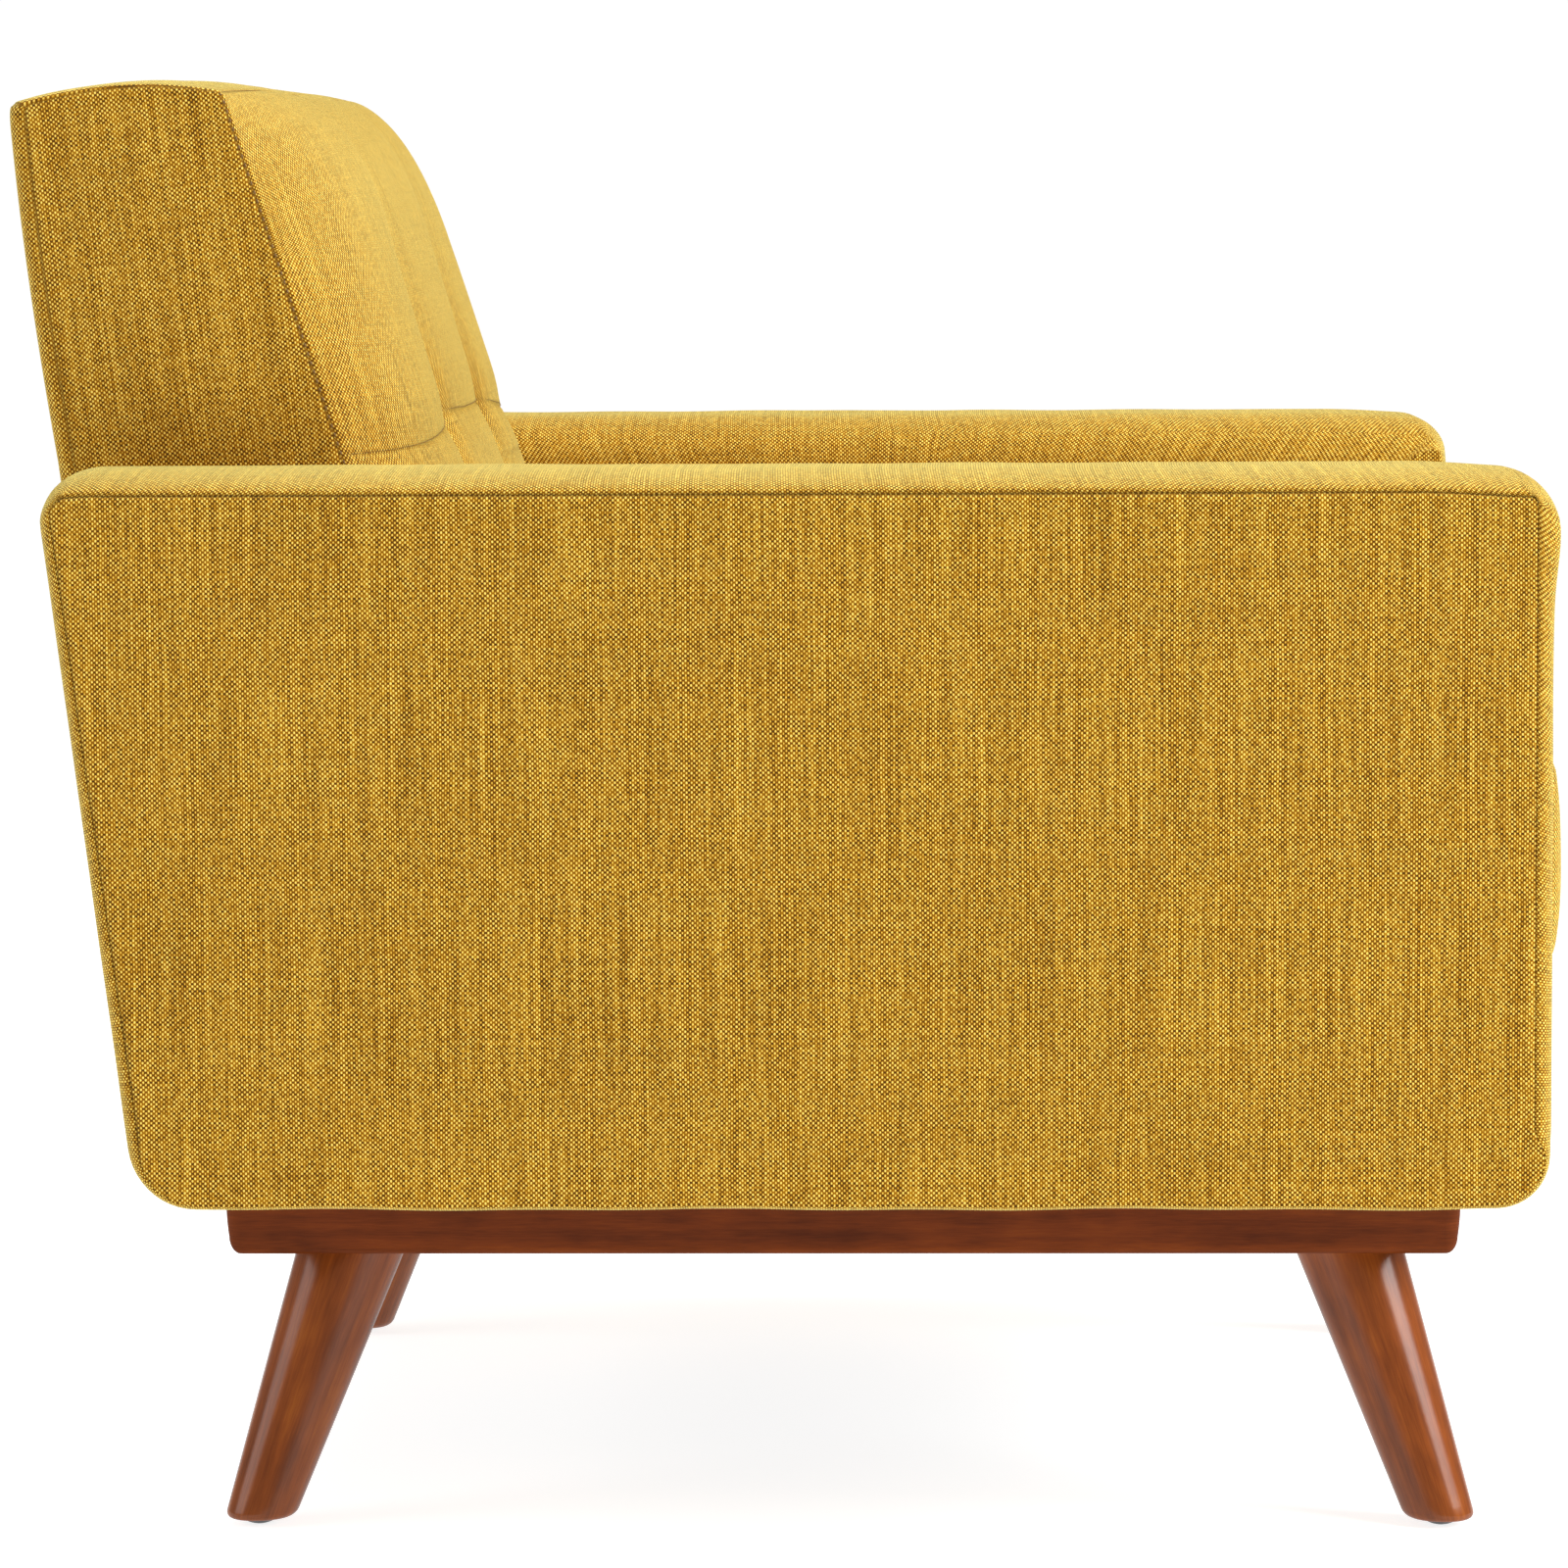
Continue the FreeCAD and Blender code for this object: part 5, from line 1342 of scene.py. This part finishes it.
@dataclass
class Cushion:
    """The loose boxed seat cushion: swollen by a cloth simulation, then seamed along both rims."""

    nodes: tuple[str, ...] = ("seat_cushion_top", "seat_cushion_bottom", "seat_cushion_boxing", "seat_cushion_core")
    start_in: float = 10.0
    voxel: float = 6.0
    cap: float = 24.0
    fullness: float = 0.35
    pressure: float = 4.0
    corner: float = 26.0
    rim: float = 15.0
    draw: float = -2.6
    dome: float = 4.0

    def blank_form(self, low: np.ndarray, high: np.ndarray) -> bpy.types.Object:
        """A rounded box a little smaller than the cushion.

        Args:
            low: lowest corner of the cushion, mm.
            high: highest corner of the cushion, mm.

        Returns:
            The mesh object that the simulation starts from.
        """
        low, high = low + self.start_in, high - self.start_in
        corners = np.array([[low[0], low[1]], [high[0], low[1]], [high[0], high[1]], [low[0], high[1]]])
        outline = Outline(corners, (self.corner,) * 4, along=60, upright=50, turn=10)
        slab = Slab(outline, thick=high[2] - low[2], face_rim=(self.rim, self.rim), back_rim=(self.rim, self.rim),
                    crown=0.0, groove=0.0, face_swell=4.0, back_swell=0.0, seed=7.7)
        panels, _, _ = slab.panels()
        place_slab(panels, (0, 1, 2), high[2], -1)
        return sew("seat_cushion_cover", panels)

    def swell(self, form: bpy.types.Object) -> None:
        """Remeshes the form evenly, blows it up as cloth without gravity and keeps the result.

        Args:
            form: the object, changed in place.
        """
        with bpy.context.temp_override(object=form, active_object=form, selected_objects=[form]):
            remesh = form.modifiers.new("even", "REMESH")
            remesh.mode = "VOXEL"
            remesh.voxel_size = self.voxel * MM
            bpy.ops.object.modifier_apply(modifier=remesh.name)
        start = np.zeros(len(form.data.vertices) * 3, np.float32)
        form.data.vertices.foreach_get("co", start)
        cloth = form.modifiers.new("stuffing", "CLOTH")
        cloth.settings.quality = 5
        cloth.settings.use_pressure = True
        cloth.settings.uniform_pressure_force = self.pressure
        cloth.settings.effector_weights.gravity = 0
        cloth.settings.tension_stiffness = 12
        cloth.settings.compression_stiffness = 12
        cloth.settings.bending_stiffness = 0.6
        cloth.point_cache.frame_start = 1
        cloth.point_cache.frame_end = 20
        scene = bpy.context.scene
        for step in range(1, 21):
            scene.frame_set(step)
        view = bpy.context.evaluated_depsgraph_get()
        swollen = form.evaluated_get(view).to_mesh()
        end = np.zeros(len(swollen.vertices) * 3, np.float32)
        swollen.vertices.foreach_get("co", end)
        form.evaluated_get(view).to_mesh_clear()
        form.modifiers.clear()
        scene.frame_set(1)
        move = (end - start).reshape(-1, 3)
        size = np.linalg.norm(move, axis=1, keepdims=True)
        move *= np.minimum(1, self.cap * MM / np.maximum(size, 1e-9)) * self.fullness
        form.data.vertices.foreach_set("co", (start.reshape(-1, 3) + move).ravel())
        form.data.update()
        log.info("cushion swelled by up to %.1f mm", size.max() / MM)

    def build(self, palette: Palette) -> None:
        """Makes the cushion and its rim seams.

        Args:
            palette: the materials.
        """
        low, high = span(*self.nodes)
        form = self.blank_form(low, high)
        self.swell(form)
        with bpy.context.temp_override(object=form, active_object=form, selected_objects=[form]):
            finer = form.modifiers.new("finer", "SUBSURF")
            finer.levels = finer.render_levels = 1
            bpy.ops.object.modifier_apply(modifier=finer.name)
        mesh = form.data
        points = np.zeros(len(mesh.vertices) * 3, np.float32)
        mesh.vertices.foreach_get("co", points)
        points = points.reshape(-1, 3).astype(float) / MM
        now_low, now_high = points.min(axis=0), points.max(axis=0)
        want_low = np.array([low[0], low[1], low[2]])
        want_high = np.array([high[0], high[1], high[2] + 12.0])
        share = (points - now_low) / (now_high - now_low)
        points = want_low + share * (want_high - want_low)
        rise = (points[:, 2] - (low[2] + high[2]) / 2) / (high[2] - low[2]) * 2
        points[:, 1] += (self.draw + self.dome * np.clip(np.abs(rise), 0, 1) ** 2) * (1 - smooth(points[:, 1], low[1], low[1] + 90))
        # flat where it rests on the deck, with its edge rolling up
        points[:, 2] = np.maximum(points[:, 2], low[2])
        middle = (low + high) / 2
        size = (high - low) / 2
        px = np.abs(points[:, 0] - middle[0])
        py = np.abs(points[:, 1] - middle[1])
        inside = np.minimum(size[0] - px, size[1] - py)
        edge_high = high[2] - 13.0
        edge_low = low[2] + 13.0
        # Painted shade along both rim seams, stored in the seam attribute.
        seam = np.zeros(len(points))
        for level in (edge_high, edge_low):
            wander = 1.2 * np.sin(points[:, 0] / 47) * np.sin(points[:, 1] / 39)
            gap = points[:, 2] - level - wander
            outer = 1 - smooth(inside, 12, 24)
            press = 2.0 * bell(gap, 2.4) * outer
            aim = np.stack([np.sign(points[:, 0] - middle[0]) * smooth(px - size[0] + 34, 0, 14),
                            np.sign(points[:, 1] - middle[1]) * smooth(py - size[1] + 34, 0, 14)], axis=1)
            points[:, :2] -= aim * press[:, None]
            seam = np.maximum(seam, 0.85 * bell(gap, 1.5) * outer)
        points[:, 0] = np.clip(points[:, 0], low[0] + 0.2, high[0] - 0.2)
        points[:, 1] = np.minimum(points[:, 1], high[1] - 0.2)
        mesh.vertices.foreach_set("co", (points * MM).astype(np.float32).ravel())
        self._cloth_map(mesh, points, edge_low, edge_high, middle)
        depth = mesh.attributes.get(SEAM_SHADE_ATTRIBUTE) or mesh.attributes.new(SEAM_SHADE_ATTRIBUTE, "FLOAT", "POINT")
        depth.data.foreach_set("value", seam.astype(np.float32))
        mesh.update()
        mesh.shade_smooth()
        finish_piece(form, CUSHION_BODY, palette.cloth, self.nodes)

    def _cloth_map(self, mesh: bpy.types.Mesh, points: np.ndarray, edge_low: float, edge_high: float,
                   middle: np.ndarray) -> None:
        """Cloth coordinates of the finished cushion: plan view on top and bottom, wrapped round on the boxing.

        Args:
            mesh: the cushion's mesh.
            points: its vertices, mm.
            edge_low: height of the lower seam.
            edge_high: height of the upper seam.
            middle: middle of the cushion; not used.
        """
        corners = np.zeros(len(mesh.loops), np.int32)
        mesh.loops.foreach_get("vertex_index", corners)
        faces = np.repeat(np.arange(len(mesh.polygons)), [p.loop_total for p in mesh.polygons])
        centres = np.zeros(len(mesh.polygons) * 3, np.float32)
        normals = np.zeros(len(mesh.polygons) * 3, np.float32)
        mesh.polygons.foreach_get("center", centres)
        mesh.polygons.foreach_get("normal", normals)
        normals = normals.reshape(-1, 3)[faces]
        height = centres.reshape(-1, 3)[faces, 2] / MM
        p = points[corners]
        cloth = p[:, :2].copy()
        wall = (height < edge_high) & (height > edge_low)
        facing_x = np.abs(normals[:, 0]) > np.abs(normals[:, 1])
        cloth[wall & facing_x] = p[wall & facing_x][:, [1, 2]]
        cloth[wall & ~facing_x] = p[wall & ~facing_x][:, [0, 2]]
        layer = mesh.uv_layers.get(CLOTH_UV) or mesh.uv_layers.new(name=CLOTH_UV)
        layer.data.foreach_set("uv", (cloth * MM).astype(np.float32).ravel())


@dataclass
class DustCover:
    """Thin black cloth stapled under the frame, hanging a few millimetres slack."""

    node: str = "dust_cover"
    slack: float = 2.5
    thin: float = 0.8

    def build(self, palette: Palette) -> None:
        """Makes a sheet z = edge - slack sin(pi a) sin(pi b), with slight pulls at its staples."""
        low, high = span(self.node)
        a, b = np.meshgrid(np.linspace(0, 1, 90), np.linspace(0, 1, 80))
        x = low[0] + (high[0] - low[0]) * a
        y = low[1] + (high[1] - low[1]) * b
        border = np.minimum.reduce([a * (high[0] - low[0]), (1 - a) * (high[0] - low[0]), b * (high[1] - low[1]),
                                    (1 - b) * (high[1] - low[1])])
        pull = 0.5 * np.sin(x / 9.0) * np.sin(y / 9.0) * np.exp(-border / 18) * smooth(border, 0, 5)
        z = low[2] + 0.4 - self.slack * np.sin(np.pi * a) ** 0.6 * np.sin(np.pi * b) ** 0.6 + pull
        upper = np.stack([x, y, z + self.thin / 2], axis=-1)
        lower = np.stack([x, y, z - self.thin / 2], axis=-1)
        plan = np.stack([x, y], axis=-1)
        rims = []
        for top_edge, low_edge in ((upper[0], lower[0]), (upper[-1], lower[-1]), (upper[:, 0], lower[:, 0]),
                                   (upper[:, -1], lower[:, -1])):
            grid = np.stack([top_edge, low_edge])
            rims.append(Panel(grid, grid[..., :2].copy()))
        cover = sew("dust_cover_sheet", [Panel(upper, plan), Panel(lower, plan), *rims])
        finish_piece(cover, FRAME_BODY, palette.inside["dust_cloth"], (self.node,))


# ---------------------------------------------------------------- wooden base and legs


@dataclass
class Base:
    """The moulded wooden frame under the seat: one bull-nosed section carried round a rounded rectangle."""

    nodes: tuple[str, ...] = ("base_side_rail_right", "base_side_rail_left", "base_front_rail", "base_rear_rail")
    rail: float = 44.0
    nose: float = 150.0
    nose_at: float = 31.0
    corner: float = 9.0
    ease: tuple[float, float] = (6.5, 10.0)
    proud: float = 1.5

    def build(self, palette: Palette) -> None:
        """Carries the section round.

        The outer side is an arc of radius nose, centred nose_at above the underside, so it draws in
        by r - sqrt(r^2 - h^2) at a height h from there; its two edges are rounded off.
        """
        low, high = span(*self.nodes)
        low[1:] -= self.proud
        high[1] += self.proud
        corners = np.array([[high[0], high[1]], [low[0], high[1]], [low[0], low[1]], [high[0], low[1]]])
        outline = Outline(corners, (self.corner,) * 4, along=40, upright=40, turn=14)
        tall = high[2] - low[2]
        h = np.linspace(-self.nose_at + self.ease[1], tall - self.nose_at - 1.5, 26)
        draw = self.nose - np.sqrt(self.nose ** 2 - h ** 2)
        angle = np.linspace(0, np.pi / 2, 8)[:-1]
        first_in = draw[0]
        low_edge = np.stack([first_in + self.ease[0] * (1 - np.sin(angle)), self.ease[1] * (1 - np.cos(angle))], axis=1)
        wall = np.stack([draw, h + self.nose_at], axis=1)
        top_edge = np.array([[draw[-1] + 0.5, tall - 0.4], [draw[-1] + 1.8, tall]])
        inner = np.array([[self.rail - 2, tall], [self.rail, tall - 2], [self.rail, 2.0], [self.rail - 2, 0.0]])
        section = np.concatenate([low_edge, wall, top_edge, inner, low_edge[:1]])
        rings = np.stack([outline.ring(s[0]) for s in section])
        z = np.broadcast_to((low[2] + section[:, 1])[:, None], rings.shape[:2])
        outer = outline.ring(0)
        travel = np.concatenate([[0], np.cumsum(np.linalg.norm(np.diff(outer, axis=0), axis=1))])
        round_it = np.concatenate([[0], np.cumsum(np.linalg.norm(np.diff(section, axis=0), axis=1))])
        cloth = np.stack(np.broadcast_arrays(round_it[:, None], travel[None, :]), axis=-1)
        points = np.concatenate([rings, z[..., None]], axis=-1)
        base = sew("base_bullnose_frame", [Panel(points, cloth)])
        finish_piece(base, FRAME_BODY, palette.rails, self.nodes)


@dataclass
class Leg:
    """One splayed, turned leg: a slim cone cut level at both ends, its foot edge eased."""

    side: Side
    front: bool
    wide_top: float = 61.0
    wide_foot: float = 38.0
    splay_x: float = 47.5
    splay_y: float = 53.0
    ease: float = 4.5

    @property
    def node(self) -> str:
        """The leg's node in the frame."""
        return f"leg_{'front' if self.front else 'rear'}_{self.side.word}"

    def middle(self) -> tuple[np.ndarray, np.ndarray]:
        """Middle of the leg's foot and top, worked out from its box."""
        low, high = span(self.node)
        sx = self.side.value
        sy = -1 if self.front else 1
        lift = high[2] - low[2]
        lean = np.array([sx * self.splay_x, sy * self.splay_y, -lift])
        lean /= np.linalg.norm(lean)
        cut = np.sqrt(1 - lean[:2] ** 2)
        foot_out = self.wide_foot / 2 / np.maximum(cut, 0.5)
        foot = np.array([high[0] - foot_out[0] if sx > 0 else low[0] + foot_out[0],
                         high[1] - foot_out[1] if sy > 0 else low[1] + foot_out[1], low[2]])
        top = foot + np.array([-sx * self.splay_x, -sy * self.splay_y, lift])
        return foot, top

    def build(self, palette: Palette) -> None:
        """Makes the leg.

        Straight lines run up the cone at every angle; each is cut where it meets the two levels.
        Rows near the foot step in on a quarter circle, and both ends close on their middles.

        Args:
            palette: the materials.
        """
        foot, top = self.middle()
        axis = (top - foot) / np.linalg.norm(top - foot)
        long = np.linalg.norm(top - foot)
        one = np.cross(axis, [0, 0, 1.0])
        one /= np.linalg.norm(one)
        two = np.cross(axis, one)
        angle = np.linspace(0, 2 * np.pi, 73)
        spoke = np.cos(angle)[:, None] * one + np.sin(angle)[:, None] * two

        def line(t: np.ndarray, z: float) -> np.ndarray:
            """Points of the cone's lines at the height z."""
            grow = (self.wide_top - self.wide_foot) / 2 / long
            at_zero = foot + spoke * self.wide_foot / 2
            per_mm = axis + spoke * grow
            run = (z - at_zero[:, 2]) / per_mm[:, 2]
            return at_zero + per_mm * run[:, None]

        quarter = np.linspace(0, np.pi / 2, 6)[:-1]
        levels = [foot[2] + self.ease * (1 - math.sin(q)) for q in quarter[::-1]]
        insets = [self.ease * (1 - math.cos(q)) for q in quarter[::-1]]
        rows, run = [], []
        core = line(angle, foot[2])
        core_mid = core[:-1].mean(axis=0)
        for share in (0.0, 0.5, 0.85):
            radius = 1 - self.ease / (self.wide_foot / 2)
            ring = core_mid + (core - core_mid) * share * radius
            ring[:, 2] = foot[2]
            rows.append(ring)
            run.append(-self.wide_foot / 2 * (1 - share))
        for level, inset in zip([foot[2], *levels], [self.ease, *insets]):
            ring = line(angle, level)
            mid = ring[:-1].mean(axis=0)
            away = ring - mid
            ring = ring - away / np.linalg.norm(away, axis=1, keepdims=True) * inset
            rows.append(ring)
            run.append(level - foot[2])
        for level in np.linspace(foot[2] + self.ease, top[2], 34)[1:]:
            rows.append(line(angle, float(level)))
            run.append(level - foot[2])
        last = rows[-1]
        mid = last[:-1].mean(axis=0)
        for share in (0.6, 0.0):
            rows.append(mid + (last - mid) * share)
            run.append(run[-1] + 12)
        points = np.stack(rows)
        spread = angle * (self.wide_top + self.wide_foot) / 4
        cloth = np.stack(np.broadcast_arrays(spread[None, :] + 400 * self.side.value + 90 * self.front,
                                             np.array(run)[:, None] + 230 * self.front), axis=-1)
        leg = sew(self.node + "_turned", [Panel(points, cloth)])
        finish_piece(leg, FRAME_BODY, palette.legs, (self.node,))


@dataclass
class Glides:
    """Four domed plastic glides, one nailed under each foot."""

    node: str = "foot_glides"
    radius: float = 10.0

    def build(self, palette: Palette, legs: list[Leg]) -> None:
        """Spins a shallow dome with a stepped rim under every leg.

        Args:
            palette: the materials.
            legs: the legs above the glides.
        """
        low, high = span(self.node)
        panels = []
        angle = np.linspace(0, 2 * np.pi, 41)
        ease = np.linspace(0, np.pi / 2, 9)
        for leg in legs:
            foot, _ = leg.middle()
            radius = np.concatenate([[0.0, self.radius - 0.8, self.radius], self.radius * np.cos(ease[1:] * 0.999)])
            radius = np.append(radius, 0.0)
            tall = foot[2] - low[2]
            height = np.concatenate([[0.0, 0.0, 0.5], 0.5 + (tall - 0.5) * np.sin(ease[1:]) ** 1.6, [tall]])
            x = foot[0] + radius[:, None] * np.cos(angle)
            y = foot[1] + radius[:, None] * np.sin(angle)
            z = np.broadcast_to((foot[2] - height)[:, None], x.shape)
            panels.append(Panel(np.stack([x, y, z], axis=-1), np.stack([x, y], axis=-1)))
        glides = sew("foot_glide_domes", panels)
        finish_piece(glides, FRAME_BODY, palette.inside["glide_plastic"], (self.node,))


# ---------------------------------------------------------------- studio


@dataclass
class Studio:
    """Pale floor, soft light and the camera."""

    eye: tuple[float, float, float] = (-4.0827, -0.0974, 0.7629)
    heading: float = -0.0280
    dip: float = 0.0900
    roll: float = -0.0047
    lens: float = 153.67
    surround: float = 0.33

    def build(self) -> None:
        """Sets the studio up."""
        self._floor()
        self._lights()
        self._camera()

    def _floor(self) -> None:
        """A matt white floor."""
        half = 14.0
        mesh = bpy.data.meshes.new("studio_floor")
        mesh.from_pydata([(-half, -half, 0), (half, -half, 0), (half, half, 0), (-half, half, 0)], [], [(0, 1, 2, 3)])
        floor = bpy.data.objects.new("studio_floor", mesh)
        bpy.context.scene.collection.objects.link(floor)
        material, tree, shader = blank("painted_studio_floor")
        place = add_node(tree, "ShaderNodeTexCoord").outputs["Object"]
        mottle = add_node(tree, "ShaderNodeTexNoise", inputs={"Vector": place, "Scale": 3.0, "Detail": 3.0})
        tone = ramp(tree, mottle.outputs[0], {0.2: "BCBCBB", 0.8: "C2C2C1"})
        tree.links.new(tone, shader.inputs["Base Color"])
        shader.inputs["Roughness"].default_value = 0.9
        shader.inputs["Specular IOR Level"].default_value = 0.1
        shader.inputs["Emission Color"].default_value = (1, 1, 1, 1)
        shader.inputs["Emission Strength"].default_value = 0.84
        mesh.materials.append(material)

    def _area(self, name: str, place: tuple[float, float, float], aim: tuple[float, float, float], size: float,
              power: float) -> None:
        """A square soft box.

        Args:
            name: the light's name.
            place: where it stands, metres.
            aim: the point it faces, metres.
            size: its side, metres.
            power: its power, watts.
        """
        data = bpy.data.lights.new(name, "AREA")
        data.size = size
        data.energy = power
        lamp = bpy.data.objects.new(name, data)
        bpy.context.scene.collection.objects.link(lamp)
        way = Vector(aim) - Vector(place)
        lamp.matrix_world = Matrix.Translation(place) @ way.to_track_quat("-Z", "Y").to_matrix().to_4x4()

    def _lights(self) -> None:
        """A large key above and in front of the sofa, a weaker one behind, and a white surround."""
        self._area("key_front", (-1.6, -3.4, 2.6), (0, 0, 0.4), 2.5, 240)
        self._area("key_top", (0.2, 0.1, 3.6), (0, 0, 0.4), 2.6, 90)
        self._area("fill_rear", (-1.2, 3.6, 1.8), (0, 0.2, 0.5), 2.4, 50)
        world = bpy.data.worlds.new("white_surround")
        world.use_nodes = True
        tree = world.node_tree
        sky = next(n for n in tree.nodes if n.type == "BACKGROUND")
        sky.inputs["Color"].default_value = (1, 1, 1, 1)
        seen = add_node(tree, "ShaderNodeLightPath").outputs["Is Camera Ray"]
        strength = add_node(tree, "ShaderNodeMapRange", inputs={0: seen, 3: self.surround, 4: 1.02})
        tree.links.new(strength.outputs[0], sky.inputs["Strength"])
        bpy.context.scene.world = world
        bpy.context.scene.view_settings.view_transform = "Standard"

    def _camera(self) -> None:
        """A long lens at seat height, looking at the sitter's right side."""
        ahead = Vector((math.cos(self.heading) * math.cos(self.dip), -math.sin(self.heading) * math.cos(self.dip),
                        -math.sin(self.dip)))
        right = Vector((-math.sin(self.heading), -math.cos(self.heading), 0.0))
        upward = right.cross(ahead)
        c, s = math.cos(self.roll), math.sin(self.roll)
        across = right * c + upward * s
        over = upward * c - right * s
        data = bpy.data.cameras.new("camera")
        data.sensor_width = 36.0
        data.lens = self.lens
        data.clip_end = 100.0
        camera = bpy.data.objects.new("camera", data)
        bpy.context.scene.collection.objects.link(camera)
        turn = Matrix((across, over, -ahead)).transposed()
        camera.matrix_world = Matrix.Translation(self.eye) @ turn.to_4x4()
        bpy.context.scene.camera = camera


# ---------------------------------------------------------------- whole sofa


NODE_SLOTS = {
    "steel": ("leg_hanger_bolts", "leg_inserts", "base_screws", "seat_springs", "spring_clips", "spring_tie_wires",
              "arm_bolts", "back_screws"),
    "glide_plastic": ("foot_glides",),
    "dust_cloth": ("dust_cover",),
    "webbing": ("back_webbing",),
    "deck_felt": ("seat_deck_pad",),
    "foam": ("seat_cushion_core",),
    "stained_wood": ("leg_front", "leg_rear", "base_side", "base_front", "base_rear"),
    "upholstery": ("seat_cushion", "seat_front_pad", "back_upper", "back_lower_pad", "back_lower_rear",
                   "back_top_pad", "back_side_pads"),
}


def main() -> None:
    """Builds the studio and every sub-assembly in order."""
    logging.basicConfig(level=logging.INFO, format="%(message)s")
    Studio().build()
    palette = Palette()
    palette.dress_nodes(frame["nodes"], NODE_SLOTS)
    for side in Side:
        Arm(side).build(palette)
    Back().build(palette)
    SeatFront().build(palette)
    Deck().build(palette)
    Cushion().build(palette)
    DustCover().build(palette)
    Base().build(palette)
    legs = [Leg(side, front) for side in Side for front in (True, False)]
    for leg in legs:
        leg.build(palette)
    Glides().build(palette, legs)


if __name__ == "__main__":
    main()
